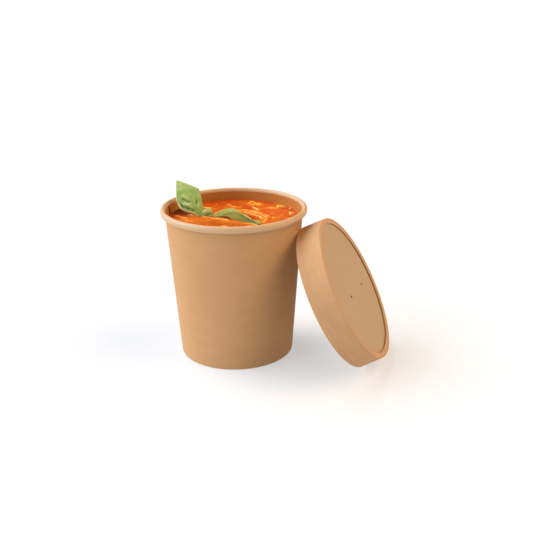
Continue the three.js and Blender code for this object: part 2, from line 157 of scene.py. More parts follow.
def bent_board_tree():
    """Draws an outline of (r, z) points out into a strip with one column of points for each step
    round, then bends the strip to a ring. The ends of the blank overlap: the outer end stands
    proud at the start, and the inner end shows inside where the overlap stops. Both come down to
    the plain sheet over a few laps."""
    EDGE = 0.0003
    OUTER_FADE = 2.5
    INNER_FADE = 1.5
    WELD = 0.002
    sizes = {
        "Columns": "Int", "Lap columns": "Int", "Blank length": "Float",
        "Seam step": "Float", "Start": "Float", "Board": "Material",
    }
    tree, given = new_tree("bent board", sizes)
    one_column = maths(tree, "DIVIDE", 1.0, given["Columns"])
    lap_end = maths(tree, "MULTIPLY", maths(tree, "ADD", given["Lap columns"], 0.5), one_column)

    count = maths(tree, "ADD", given["Columns"], 1)
    line = wire(tree, "GeometryNodeCurvePrimitiveLine", {"Start": (0, 0, 0), "End": (0, 0, 1)})
    line = wire(tree, "GeometryNodeResampleCurve", {"Curve": line.outputs[0], "Count": count})
    index = wire(tree, "GeometryNodeInputIndex").outputs[0]
    after_start = maths(tree, "COMPARE", index, 1.0, 0.1)
    before_end = maths(tree, "COMPARE", index, given["Lap columns"], 0.1)
    after_end = maths(tree, "COMPARE", index, maths(tree, "ADD", given["Lap columns"], 1.0), 0.1)
    half = maths(tree, "SUBTRACT", maths(tree, "MULTIPLY", one_column, 0.5), EDGE / 2)
    shift = maths(tree, "MULTIPLY", maths(tree, "SUBTRACT", before_end, after_end), half)
    first_shift = maths(tree, "MULTIPLY", after_start, maths(tree, "SUBTRACT", EDGE, one_column))
    shift = maths(tree, "ADD", shift, first_shift)
    offset = wire(tree, "ShaderNodeCombineXYZ", {"Z": shift}).outputs[0]
    line = wire(tree, "GeometryNodeSetPosition", {"Geometry": line.outputs[0], "Offset": offset})

    profile = wire(tree, "GeometryNodeMeshToCurve", {"Mesh": given["Geometry"]})
    curves = {"Curve": line.outputs[0], "Profile Curve": profile.outputs[0]}
    strip = wire(tree, "GeometryNodeCurveToMesh", curves)
    place = wire(tree, "GeometryNodeInputPosition").outputs[0]
    radius, height, turn = wire(tree, "ShaderNodeSeparateXYZ", {0: place}).outputs
    length = maths(tree, "MULTIPLY", turn, given["Blank length"])
    flat = wire(tree, "ShaderNodeCombineXYZ", {"X": length, "Y": named(tree, "run")}).outputs[0]
    blank = {"Geometry": strip.outputs[0], "Name": "blank", "Value": flat}
    kind = {"data_type": "FLOAT_VECTOR", "domain": "CORNER"}
    strip = wire(tree, "GeometryNodeStoreNamedAttribute", blank, **kind)

    started = maths(tree, "GREATER_THAN", turn, EDGE / 2)
    fade_end = maths(tree, "MULTIPLY", lap_end, OUTER_FADE)
    outer_end = maths(tree, "MULTIPLY", started, mapped(tree, turn, lap_end, fade_end, 1.0, 0.0))
    fade_start = maths(tree, "SUBTRACT", 1.0, maths(tree, "MULTIPLY", lap_end, INNER_FADE))
    inner_fade = mapped(tree, turn, fade_start, 1.0, 0.0, 1.0)
    inner_end = maths(tree, "ADD", maths(tree, "LESS_THAN", turn, lap_end), inner_fade)
    side = named(tree, "side")
    outward = maths(tree, "MULTIPLY", maths(tree, "MAXIMUM", side, 0.0), outer_end)
    inward = maths(tree, "MULTIPLY", maths(tree, "MINIMUM", side, 0.0), inner_end)
    rise = maths(tree, "MULTIPLY", maths(tree, "ADD", outward, inward), given["Seam step"])
    radius = maths(tree, "ADD", radius, rise)

    angle = maths(tree, "ADD", given["Start"], maths(tree, "MULTIPLY", turn, 2 * math.pi))
    east = maths(tree, "MULTIPLY", radius, maths(tree, "COSINE", angle))
    north = maths(tree, "MULTIPLY", radius, maths(tree, "SINE", angle))
    bent = wire(tree, "ShaderNodeCombineXYZ", {"X": east, "Y": north, "Z": height}).outputs[0]
    ring = wire(tree, "GeometryNodeSetPosition", {"Geometry": strip.outputs[0], "Position": bent})
    ring = wire(tree, "GeometryNodeMergeByDistance", {"Geometry": ring.outputs[0], "Distance": WELD})
    return finished(tree, ring.outputs[0], given["Board"])


def placed(name, data):
    """A new object with its data, at the origin."""
    piece = bpy.data.objects.new(name, data)
    bpy.context.collection.objects.link(piece)
    return piece


def grown(name, mesh, tree, values):
    """The mesh after a geometry tree, as a plain object at the origin."""
    piece = placed(name, mesh)
    modifier = piece.modifiers.new("make", "NODES")
    modifier.node_group = tree
    for item in tree.interface.items_tree:
        if item.in_out == "INPUT" and item.name in values:
            modifier[item.identifier] = values[item.name]
    evaluated = piece.evaluated_get(bpy.context.evaluated_depsgraph_get())
    result = bpy.data.meshes.new_from_object(evaluated)
    piece.modifiers.remove(modifier)
    piece.data = result
    result.name = name
    return piece


def settle(piece, placing, sharp=40):
    """Turns the faces of a closed mesh outward, shades it smooth except at its sharp edges, and
    moves it into the frame."""
    mesh = piece.data
    edit = bmesh.new()
    edit.from_mesh(mesh)
    bmesh.ops.recalc_face_normals(edit, faces=edit.faces)
    edit.to_mesh(mesh)
    edit.free()
    mesh.shade_smooth()
    mesh.set_sharp_from_angle(angle=math.radians(sharp))
    mesh.transform(placing)
    mesh.update()


def set_marks(mesh, marks):
    """Numbers for each point of a mesh, under their names."""
    for label, values in marks.items():
        mesh.attributes.new(label, "FLOAT", "POINT").data.foreach_set("value", values)


def bent_board(name, outline, sides, radius, columns, lap, step, start, board):
    """A ring of board from its closed or axis-to-axis outline. sides says for each point how far
    the overlap moves it: 1 outward on the outside of the sheet, -1 inward on its inside."""
    closed = outline[0][0] > 0
    run = [0.0]
    for before, after in zip(outline, outline[1:]):
        run.append(run[-1] + math.dist(before, after))
    count = len(outline)
    edges = [(i, i + 1) for i in range(count - 1)] + ([(count - 1, 0)] if closed else [])
    mesh = bpy.data.meshes.new(name)
    mesh.from_pydata([(r, z, 0) for r, z in outline], edges, [])
    set_marks(mesh, {"run": run, "side": sides})
    length = 2 * math.pi * radius
    values = {
        "Columns": columns, "Lap columns": round(columns * lap / length), "Blank length": length,
        "Seam step": step, "Start": math.radians(start), "Board": board,
    }
    return grown(name, mesh, bent_board.tree, values)


bent_board.tree = bent_board_tree()


def ramp(tree, factor, *stops):
    """Colours or greys along a factor, each stop as (place, colour or grey)."""
    made = wire(tree, "ShaderNodeValToRGB", {"Fac": factor})
    while len(made.color_ramp.elements) < len(stops):
        made.color_ramp.elements.new(1.0)
    for element, (place, colour) in zip(made.color_ramp.elements, stops):
        element.position = place
        shade = colour if isinstance(colour, tuple) else (colour,) * 3
        element.color = (*shade, 1.0)
    return made.outputs[0]


def new_material(name, levels):
    """A material with its tree and its shader, whose plain inputs are set to the levels."""
    material = bpy.data.materials.new(name)
    material.use_nodes = True
    shader = material.node_tree.nodes["Principled BSDF"]
    for label, level in levels.items():
        shader.inputs[label].default_value = level
    return material, material.node_tree, shader


def blank_coordinates(tree, scale):
    """Millimetres of the flat blank, drawn out by a scale along and across it."""
    blank = wire(tree, "ShaderNodeAttribute", attribute_name="blank").outputs["Vector"]
    return wire(tree, "ShaderNodeMapping", {"Vector": blank, "Scale": scale}).outputs[0]


def cloudy(tree, coordinates, scale=1.0, detail=2.0, **more):
    """A grey noise over coordinates."""
    inputs = {"Vector": coordinates, "Scale": scale, "Detail": detail, **more}
    return wire(tree, "ShaderNodeTexNoise", inputs).outputs[0]


def tinted(tree, tone, factor, strength, tint):
    """A tone mixed with a tint, as far as a grey factor times a strength says."""
    amount = maths(tree, "MULTIPLY", factor, strength)
    inputs = {"Fac": amount, "Color1": tone, "Color2": (*tint, 1)}
    return wire(tree, "ShaderNodeMixRGB", inputs).outputs[0]


def embossed(tree, shader, relief, strength, depth):
    """Gives a shader bumps from a grey relief, of a depth in metres."""
    bump = wire(tree, "ShaderNodeBump", {"Strength": strength, "Distance": depth, "Height": relief})
    tree.links.new(bump.outputs[0], shader.inputs["Normal"])


def fibres(tree, scale, threshold):
    """Thin paper fibres: the ridges of a noise that is drawn out along one direction."""
    field = cloudy(tree, blank_coordinates(tree, scale), detail=3.0, Distortion=0.6)
    ridge = maths(tree, "ABSOLUTE", maths(tree, "SUBTRACT", field, 0.5))
    return ramp(tree, ridge, (0.0, 1.0), (threshold, 0.0))


def board_material(name, dark, light, roughness, seam=0, scuffs=0, gloss=0.15):
    """Brown paperboard: a cloudy tone, long pale and dark fibres, and a fine tooth. Where a
    seam is given, the cut edge is dark at that many mm along the blank. Scuffs are faint pale
    scratches along the blank, in patches, from the rolling."""
    material, tree, shader = new_material(name, {"Specular IOR Level": gloss})
    pale = tuple(min(c * 1.22, 1.0) for c in light)
    deep = tuple(c * 0.72 for c in dark)
    cut = tuple(c * 0.22 for c in dark)
    cloud = cloudy(tree, blank_coordinates(tree, (0.05, 0.09, 0.05)), detail=4.0, Roughness=0.65)
    tooth = cloudy(tree, blank_coordinates(tree, (1.6, 2.4, 1.6)), detail=5.0, Roughness=0.7)
    long_fibres = fibres(tree, (0.35, 2.2, 1.0), 0.012)
    cross_fibres = fibres(tree, (1.9, 0.5, 1.0), 0.010)
    tone = ramp(tree, cloud, (0.3, dark), (0.7, light))
    tone = tinted(tree, tone, long_fibres, 0.3, pale)
    tone = tinted(tree, tone, cross_fibres, 0.3, deep)
    tone = tinted(tree, tone, ramp(tree, tooth, (0.30, 1.0), (0.36, 0.0)), 0.35, deep)
    if seam:
        along = wire(tree, "ShaderNodeSeparateXYZ", {0: blank_coordinates(tree, (1, 1, 1))}).outputs[0]
        from_edge = maths(tree, "ABSOLUTE", maths(tree, "SUBTRACT", along, seam))
        reach = maths(tree, "DIVIDE", from_edge, CUT_EDGE_REACH)
        tone = tinted(tree, tone, ramp(tree, reach, (0.5, 1.0), (1.0, 0.0)), 0.9, cut)
    if scuffs:
        scratch = ramp(tree, cloudy(tree, blank_coordinates(tree, (0.035, 0.6, 1))), (0.52, 0.0), (0.66, 1.0))
        patch = ramp(tree, cloudy(tree, blank_coordinates(tree, (0.07, 0.07, 1))), (0.5, 0.0), (0.62, 1.0))
        tone = tinted(tree, tone, maths(tree, "MULTIPLY", scratch, patch), scuffs, pale)
    tree.links.new(tone, shader.inputs["Base Color"])
    relief = maths(tree, "ADD", maths(tree, "MULTIPLY", long_fibres, 0.5), tooth)
    embossed(tree, shader, relief, 0.35, 0.00006)
    uneven = ramp(tree, cloud, (0.3, roughness - 0.06), (0.7, roughness + 0.06))
    tree.links.new(uneven, shader.inputs["Roughness"])
    return material


WALL_DARK = (0.50, 0.270, 0.119)
WALL_LIGHT = (0.535, 0.296, 0.135)
# The lining is darker and more orange than the board outside: partly its own coating, partly painted shade
# inside the tub and painted orange reflection from the soup
SHADED_LINING_DARK = (0.42, 0.155, 0.030)
SHADED_LINING_LIGHT = (0.46, 0.185, 0.040)
# The rim is painted paler than the wall board it is rolled from: a painted highlight on the rim's top
RIM_HIGHLIT_DARK = (0.53, 0.325, 0.165)
RIM_HIGHLIT_LIGHT = (0.57, 0.360, 0.197)

half_board = BOARD / 2
hem_radius = wall_inner(0) - 2 * FIT_GAP - FLANGE_BOARD - half_board
fold_z = half_board + FOLD_RADIUS
roll_z = TUB_HEIGHT - RIM_ROLL_HEIGHT / 2
roll_width = (RIM_RADIUS - half_board - (wall_outer(roll_z) - half_board)) / 2
roll_height = RIM_ROLL_HEIGHT / 2 - half_board
fold_out = wall_outer(fold_z) - half_board - FOLD_RADIUS
side_line = [(wall_outer(z) - half_board, z) for z in SIDE_HEIGHTS]
wall_line = [
    (hem_radius + TAPER * HEM_HEIGHT, HEM_HEIGHT),
    *arc(hem_radius + FOLD_RADIUS, fold_z, FOLD_RADIUS, FOLD_RADIUS, 180, 270, FOLD_STEPS),
    *arc(fold_out, fold_z, FOLD_RADIUS, FOLD_RADIUS, 270, 360, FOLD_STEPS),
    *side_line,
    *arc(RIM_RADIUS - half_board - roll_width, TUB_HEIGHT - half_board - roll_height,
         roll_width, roll_height, 180, ROLL_END, ROLL_STEPS),
]
lining, outside = sheet_sides(wall_line, BOARD)
before_side = [0.0] * (1 + 2 * (FOLD_STEPS + 1))
after_side = [ROLL_SEAM_PART] * (len(lining) - len(before_side) - len(side_line))
lining_sides = before_side + [-1.0] * len(side_line) + after_side
outside_sides = before_side + [1.0] * len(side_line) + after_side
wall_board = board_material("wall board", WALL_DARK, WALL_LIGHT, 0.8)
# The lining's colour is partly painted shade and painted soup reflection
shaded_wall_lining = board_material("wall lining with painted shade", SHADED_LINING_DARK, SHADED_LINING_LIGHT, 0.5, seam=SEAM_LAP)
tub_wall = bent_board(
    "tub_wall", lining + outside[::-1], lining_sides + outside_sides[::-1], NECK_RADIUS,
    WALL_COLUMNS, SEAM_LAP, SEAM_STEP, SEAM_START, wall_board,
)
tub_wall.data.materials.append(shaded_wall_lining)
# The rim board is painted paler than the wall: a painted highlight on the rolled rim
tub_wall.data.materials.append(board_material("rim board with painted highlight", RIM_HIGHLIT_DARK, RIM_HIGHLIT_LIGHT, 0.5, gloss=0.6))
for face in tub_wall.data.polygons:
    centre = face.center
    radius = math.hypot(centre.x, centre.y)
    if HEM_HEIGHT < centre.z < roll_z and radius < wall_outer(centre.z) - half_board:
        face.material_index = 1
    elif centre.z > TUB_HEIGHT - RIM_ROLL_HEIGHT and (centre.z > roll_z or radius > NECK_RADIUS):
        face.material_index = 2
settle(tub_wall, TUB_TO_FRAME)
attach(tub_wall, "root")
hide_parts("cup_wall")

# The base: a disc of board raised above the table. Its edge turns down between the wall and the
# hem and is heat-sealed there.
BASE_TOP = 7.2
BASE_FOOT = 1.2
BASE_CORNER = 0.7
BASE_ROOT = 0.3
BASE_RINGS = (0, 12, 26)
DISC_COLUMNS = 240


def flange_outer(z):
    return wall_inner(z) - FIT_GAP


def flange_inner(z):
    return flange_outer(z) - FLANGE_BOARD


def dish(rings, top, foot, board, outer, inner, root, corner):
    """The outline of a disc whose edge turns down to a foot, from the middle of its underside to
    the middle of its top. Its edge runs between two radii that depend on the height."""
    under = top - board
    return [
        *[(r, under) for r in rings],
        *arc(inner(under) - root, under - root, root, root, 90, 0, 4),
        (inner(foot), foot),
        (outer(foot), foot),
        *arc(outer(top) - corner, top - corner, corner, corner, 0, 90, 6),
        *[(r, top) for r in reversed(rings)],
    ]


base_outline = dish(
    BASE_RINGS, BASE_TOP, BASE_FOOT, BOARD, flange_outer, flange_inner, BASE_ROOT, BASE_CORNER
)
base_board = board_material("base board", WALL_DARK, WALL_LIGHT, 0.8)
tub_base = bent_board(
    "tub_base", base_outline, [0.0] * len(base_outline), NECK_RADIUS, DISC_COLUMNS, SEAM_LAP, 0.0,
    SEAM_START, base_board,
)
settle(tub_base, TUB_TO_FRAME)
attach(tub_base, "root")
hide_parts("cup_base")

# The noodles: boiled thin pasta, some of it afloat and the rest just under the surface. The first
# strands lie where they show, each with the height that it floats at and the points it passes;
# the rest fill the surface by a fixed draw. Both ends of a strand dip under.
SOUP_LEVEL = 94.3
NOODLE_RADIUS = 0.85
NOODLE_STEP = 0.5
NOODLE_SIDES = 12
END_DIP = 0.9
FLOAT_SINK = 0.3
SWAY = 0.18
SWAY_TURN = 0.28
SHOWN = (
    (0.30, ((23.4, 23.6), (27.8, 22.6), (30.3, 25.0), (35.4, 25.7))),
    (0.10, ((24.2, 22.4), (27.0, 21.8), (29.4, 21.6))),
    (0.20, ((0.8, 17.2), (6.5, 16.8), (11.6, 15.0), (17.3, 8.5), (21.6, 1.1), (22.5, -7.0))),
    (0.10, ((1.9, 14.6), (8.1, 12.9), (13.4, 8.0), (17.4, 1.8), (19.0, -3.6))),
    (0.15, ((6.9, 9.6), (11.8, 7.6), (16.6, 3.0), (20.9, -3.6), (20.6, -8.4), (17.0, -10.2))),
    (-0.05, ((1.6, 19.4), (8.0, 18.8), (14.8, 14.2), (20.4, 7.6), (24.6, 0.6))),
    (0.45, ((8.2, 33.8), (10.2, 39.0), (12.8, 36.6), (14.4, 33.4), (17.8, 30.2))),
    (0.30, ((9.4, 32.6), (12.2, 32.0), (15.6, 33.8), (18.6, 33.2))),
    (0.20, ((11.6, 26.8), (13.4, 23.2), (16.2, 18.4))),
    (0.15, ((-3.4, 27.6), (-0.4, 26.4), (3.4, 26.2))),
    (0.05, ((-6.0, 32.4), (-3.6, 32.2))),
    (0.25, ((-40.4, 6.6), (-37.4, 4.0), (-33.9, 0.3), (-30.8, -2.4))),
    (-0.15, ((-36.0, -2.2), (-31.6, -5.4), (-26.0, -7.4))),
    (0.15, ((-24.0, 25.6), (-19.8, 24.6), (-15.6, 24.2))),
    (0.20, ((-33.0, 8.8), (-29.6, 6.8), (-25.2, 4.2))),
    (0.15, ((-22.0, 3.0), (-18.4, 1.4), (-14.0, 0.4))),
    (0.20, ((-15.6, -0.8), (-9.2, -2.7), (-3.2, -6.0))),
    (0.15, ((5.8, -13.0), (10.4, -13.8), (14.4, -16.0), (17.4, -19.4))),
)
FLOATING_DRAWN = 10
FLOATING_LIFT = (-0.1, 0.2)
FRONT_STRIP = -17
SUNK_DRAWN = 52
SUNK_LIFT = (-2.4, -0.6)
DRAWN_FIELD = 41
DRAWN_STRIDE = (2.5, 6)
DRAWN_BEND = 0.55
DRAWN_WANDER = 0.25
TUB_CLEARANCE = 42.5
draw = random.Random(21)


def smooth_line(points, count):
    """Evenly spaced points of a smooth curve through the given ones."""
    points = [Vector(p) for p in points]
    first = points[0] * 2 - points[1]
    last = points[-1] * 2 - points[-2]
    ends = [first, *points, last]
    fine = []
    for a, b, c, d in zip(ends, ends[1:], ends[2:], ends[3:]):
        for i in range(24):
            t = i / 24
            curve = 2 * b + (c - a) * t + (2 * a - 5 * b + 4 * c - d) * t * t
            fine.append((curve + (3 * b - a - 3 * c + d) * t ** 3) / 2)
    fine.append(points[-1])
    run = [0.0]
    for before, after in zip(fine, fine[1:]):
        run.append(run[-1] + (after - before).length)
    wanted = np.linspace(0, run[-1], count)
    axes = [np.interp(wanted, run, [p[k] for p in fine]) for k in range(3)]
    return [Vector(p) for p in zip(*axes)]


def strand(lift, path):
    """Points of a noodle that lies in the surface, swaying a little on its way."""
    length = sum(math.dist(a, b) for a, b in zip(path, path[1:]))
    points = smooth_line([(x, y, 0) for x, y in path], max(round(length / NOODLE_STEP), 8))
    sway = draw.uniform(0, 6.28)
    for i, point in enumerate(points):
        end = abs(2 * i / (len(points) - 1) - 1)
        swing = SWAY * math.sin(SWAY_TURN * i + sway)
        point.z = SOUP_LEVEL + lift - FLOAT_SINK + swing - END_DIP * end ** 6
    return points


def drawn_strand(low_lift, high_lift):
    """A strand at a drawn place that stays inside the tub."""
    while True:
        angle = draw.uniform(0, 2 * math.pi)
        radius = DRAWN_FIELD * math.sqrt(draw.random())
        heading = draw.uniform(0, 2 * math.pi)
        stride = draw.uniform(*DRAWN_STRIDE)
        bend = draw.uniform(-DRAWN_BEND, DRAWN_BEND)
        x, y = radius * math.cos(angle), radius * math.sin(angle)
        path = [(x, y)]
        for _ in range(4):
            heading += bend + draw.uniform(-DRAWN_WANDER, DRAWN_WANDER)
            x, y = x + stride * math.cos(heading), y + stride * math.sin(heading)
            path.append((x, y))
        if max(math.hypot(*p) for p in path) < TUB_CLEARANCE:
            return strand(draw.uniform(low_lift, high_lift), path)


floating = [strand(*noodle) for noodle in SHOWN]
while len(floating) < len(SHOWN) + FLOATING_DRAWN:
    points = drawn_strand(*FLOATING_LIFT)
    if max(p.y for p in points) < FRONT_STRIP:
        floating.append(points)
sunk = [drawn_strand(*SUNK_LIFT) for _ in range(SUNK_DRAWN)]


def strand_tree():
    """A round strand along each line, its ends rounded off and its thickness a little uneven."""
    sizes = {"Radius": "Float", "Sides": "Int", "Skin": "Material"}
    tree, given = new_tree("strands", sizes)
    lines = wire(tree, "GeometryNodeMeshToCurve", {"Mesh": given["Geometry"]})
    circle = {"Resolution": given["Sides"], "Radius": given["Radius"]}
    section = wire(tree, "GeometryNodeCurvePrimitiveCircle", circle)
    along = wire(tree, "GeometryNodeSplineParameter").outputs["Factor"]
    middle = maths(tree, "ABSOLUTE", maths(tree, "SUBTRACT", maths(tree, "MULTIPLY", along, 2.0), 1.0))
    rounding = maths(tree, "SQRT", maths(tree, "SUBTRACT", 1.003, maths(tree, "POWER", middle, 40.0)))
    uneven = wire(tree, "ShaderNodeTexNoise", {"Scale": 0.35, "Detail": 1.0}).outputs[0]
    size = maths(tree, "MULTIPLY", rounding, mapped(tree, uneven, 0.3, 0.7, 0.85, 1.12))
    curves = {"Curve": lines.outputs[0], "Profile Curve": section.outputs[0], "Scale": size}
    rods = wire(tree, "GeometryNodeCurveToMesh", {**curves, "Fill Caps": True})
    return finished(tree, rods.outputs[0], given["Skin"])


def strands(name, lines, radius, sides, skin):
    points, edges = [], []
    for line in lines:
        start = len(points)
        points += [tuple(p) for p in line]
        edges += [(i, i + 1) for i in range(start, len(points) - 1)]
    mesh = bpy.data.meshes.new(name)
    mesh.from_pydata(points, edges, [])
    return grown(name, mesh, strands.tree, {"Radius": radius, "Sides": sides, "Skin": skin})


strands.tree = strand_tree()


def food_coordinates(tree):
    """Object coordinates in millimetres."""
    place = wire(tree, "ShaderNodeTexCoord").outputs["Object"]
    return wire(tree, "ShaderNodeMapping", {"Vector": place, "Scale": (1000, 1000, 1000)}).outputs[0]


# Pale pasta stained by tomato: orange in the wet hollows and yellow where it is clean
NOODLE_WET = (0.76, 0.21, 0.010)
NOODLE_STAINED = (0.82, 0.32, 0.022)
NOODLE_CLEAN = (0.89, 0.50, 0.10)
noodle_skin, tree, shader = new_material("noodle", {"Roughness": 0.35, "Specular IOR Level": 0.18})
stain = cloudy(tree, food_coordinates(tree), 0.28, 3.0)
tone = ramp(tree, stain, (0.36, NOODLE_WET), (0.5, NOODLE_STAINED), (0.66, NOODLE_CLEAN))
tree.links.new(tone, shader.inputs["Base Color"])
noodles = strands("noodles", floating, NOODLE_RADIUS, NOODLE_SIDES, noodle_skin)
settle(noodles, TUB_TO_FRAME, 180)
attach(noodles, "root")
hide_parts("soup")

# The soup: thick tomato broth up to its level. It climbs a little where it wets the board and
# the noodles, and the sunk noodles show through it as paler streaks.
SOUP_RINGS = 150
SOUP_COLUMNS = 360
# Each ripple: its height, how fine it is, and its seed
RIPPLES = ((0.12, 0.09, 3.0), (0.048, 0.35, 8.0))
WETTING_HEIGHT = 0.7
WETTING_REACH = 0.9
NOODLE_WETTING = 0.4
NOODLE_SHORE = 0.55
NOODLE_SLOPE = 0.5
NOODLE_HOLLOW = 0.25
HOLLOW_BREADTH = 0.6
AFLOAT_GLOW = 0.55
AFLOAT_BREADTH = 1.3
SUNK_BREADTH = 0.8
SUNK_SPREAD = 0.25
SUNK_REACH = 1.5
WALL_OVERLAP = 0.05
# Near the wall the broth is darker red, stronger on the left: partly broth that clings to the board, partly
# painted shade of the wall
WALL_SHADE_REACH = 3.2
WALL_RED_AND_SHADE = 0.7
WALL_SHADE_SWING = 0.3
# Each mark: where it starts and ends, its breadth and its depth
# Painted shadow on the broth: under the tall leaf by the left wall, and fainter under the long leaf by the
# front rim
PAINTED_BROTH_SHADOWS = (((-41.5, 19.5), (-32, 14.5), 5.5, 2.6), ((-22, -9), (6, -17), 4.5, 0.35))
# A darker red patch by the back wall, partly painted shade of the wall
RED_AND_SHADED_BROTH = (((-14, 33), (2, 37), 6.5, 0.6),)


def tree_of(lines):
    points = [p for line in lines for p in line]
    found = KDTree(len(points))
    for i, p in enumerate(points):
        found.insert((p.x, p.y, 0), i)
    found.balance()
    return found, points


def bell(distance, breadth):
    return math.exp(-((distance / breadth) ** 2))


def marked(x, y, marks):
    """How strong the marks are together at a place."""
    total = 0.0
    for start, end, breadth, depth in marks:
        foot, run = Vector(start), Vector(end) - Vector(start)
        along = min(max((Vector((x, y)) - foot).dot(run) / run.length_squared, 0), 1)
        total += depth * bell((Vector((x, y)) - foot - along * run).length, breadth)
    return total


def ring_faces(start, count):
    """The faces between a ring of points and the next ring."""
    turn = [(i, (i + 1) % count) for i in range(count)]
    return [(start + a, start + count + a, start + count + b, start + b) for a, b in turn]


def soup_surface():
    """The soup's closed body and, for each point of it, how much noodle shows through, how dark and
    red it is by the wall, partly painted shade of the wall, and how much painted shadow lies on it."""
    float_tree, _ = tree_of(floating)
    sunk_tree, sunk_points = tree_of(sunk)
    points, glow, near, deep = [(0.0, 0.0, SOUP_LEVEL)], [0.0], [0.0], [0.0]
    edge = wall_inner(SOUP_LEVEL) + WALL_OVERLAP
    for ring in range(1, SOUP_RINGS + 1):
        radius = edge * ring / SOUP_RINGS
        for column in range(SOUP_COLUMNS):
            angle = 2 * math.pi * column / SOUP_COLUMNS
            x, y = radius * math.cos(angle), radius * math.sin(angle)
            height = sum(rise * noise(Vector((x * fine, y * fine, seed))) for rise, fine, seed in RIPPLES)
            height += WETTING_HEIGHT * math.exp((radius - edge) / WETTING_REACH)
            _, _, gap = float_tree.find((x, y, 0))
            height += NOODLE_WETTING * math.exp(-max(gap - NOODLE_SHORE, 0) / NOODLE_SLOPE)
            height -= NOODLE_HOLLOW * bell(gap, HOLLOW_BREADTH)
            shown = AFLOAT_GLOW * bell(gap, AFLOAT_BREADTH)
            for _, index, gap in sunk_tree.find_n((x, y, 0), 6):
                depth = SOUP_LEVEL - sunk_points[index].z
                through = math.exp(-depth / SUNK_REACH)
                shown = max(shown, bell(gap, SUNK_BREADTH + SUNK_SPREAD * depth) * through)
            points.append((x, y, SOUP_LEVEL + height))
            glow.append(shown)
            # darker red by the wall, partly painted shade of the wall
            wall_red_and_shade = WALL_RED_AND_SHADE - WALL_SHADE_SWING * math.cos(angle)
            wall_red_and_shade *= math.exp((radius - edge) / WALL_SHADE_REACH)
            near.append(wall_red_and_shade + marked(x, y, RED_AND_SHADED_BROTH))
            # painted shadow under the leaves
            deep.append(marked(x, y, PAINTED_BROTH_SHADOWS))
    faces = [(0, 1 + c, 1 + (c + 1) % SOUP_COLUMNS) for c in range(SOUP_COLUMNS)]
    for ring in range(SOUP_RINGS - 1):
        faces += ring_faces(1 + ring * SOUP_COLUMNS, SOUP_COLUMNS)
    for foot in (SOUP_LEVEL - 1, BASE_TOP + 0.1):
        faces += ring_faces(len(points) - SOUP_COLUMNS, SOUP_COLUMNS)
        radius = wall_inner(foot) + WALL_OVERLAP
        for c in range(SOUP_COLUMNS):
            angle = 2 * math.pi * c / SOUP_COLUMNS
            points.append((radius * math.cos(angle), radius * math.sin(angle), foot))
        glow += [0.0] * SOUP_COLUMNS
        near += [1.0] * SOUP_COLUMNS
        deep += [0.0] * SOUP_COLUMNS
    faces.append(tuple(range(len(points) - 1, len(points) - SOUP_COLUMNS - 1, -1)))
    return points, faces, {"noodle_under": glow, "near_wall_red_and_shade": near, "deep": deep}


def mark(tree, label):
    return wire(tree, "ShaderNodeAttribute", attribute_name=label).outputs["Fac"]


# Tomato broth: orange with redder drifts and fine pulp, paler over noodles, and wet. By the wall
# it is darker red, partly painted shade of the wall, and under the leaves it is painted near black
# as their shadow.
BROTH_RED = (0.45, 0.043, 0.003)
BROTH_ORANGE = (0.54, 0.078, 0.004)
BROTH_BRIGHT = (0.62, 0.130, 0.005)
PULP = (0.72, 0.18, 0.015)
# The darkest tint paints the shadows under the leaves, and the tint by the wall is partly painted shade of
# the wall
BROTH_TINTS = {
    "noodle_under": (0.80, 0.28, 0.028), "near_wall_red_and_shade": (0.42, 0.060, 0.008), "deep": (0.09, 0.012, 0.003),
}
broth, tree, shader = new_material("tomato broth", {"Roughness": 0.25, "Specular IOR Level": 0.14})
drift = cloudy(tree, food_coordinates(tree), 0.075, 4.0, Distortion=0.8)
pulp = cloudy(tree, food_coordinates(tree), 0.9, 3.0)
tone = ramp(tree, drift, (0.34, BROTH_RED), (0.5, BROTH_ORANGE), (0.66, BROTH_BRIGHT))
tone = tinted(tree, tone, ramp(tree, pulp, (0.5, 0.0), (0.68, 1.0)), 0.35, PULP)
for label, tint in BROTH_TINTS.items():
    tone = tinted(tree, tone, mark(tree, label), 0.85, tint)
tree.links.new(tone, shader.inputs["Base Color"])
embossed(tree, shader, pulp, 0.25, 0.0002)

soup_points, soup_faces, soup_marks = soup_surface()
soup_mesh = bpy.data.meshes.new("soup_broth")
soup_mesh.from_pydata(soup_points, [], soup_faces)
set_marks(soup_mesh, soup_marks)
soup_mesh.materials.append(broth)
soup = placed("soup_broth", soup_mesh)
settle(soup, TUB_TO_FRAME, 50)
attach(soup, "root")
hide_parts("soup")

# Small diced vegetables: boiled soft, worn round at their edges and stained by the broth. They
# float with one corner out of the soup. Each has its place, its width and depth, and its turn.
MORSELS = (
    (39.2, 9.8, 4.0, 4.2, 20), (27.8, -0.8, 4.6, 2.6, 4),
    (10.6, 37.4, 4.4, 3.2, 10), (31.8, 27.4, 6.0, 2.6, 8),
    (38.6, 20.4, 2.4, 1.6, 15), (-27.0, -22.0, 3.6, 2.8, 30),
    (22.0, -30.0, 3.4, 2.6, 70), (-6.0, -28.0, 3.0, 2.6, 10),
)
MORSEL_DEPTH = 2.2
MORSEL_BALL = 1.25
MORSEL_ROUNDING = 0.35
MORSEL_UNEVEN = 0.08
MORSEL_TILT = 0.25
MORSEL_SINK = 0.35


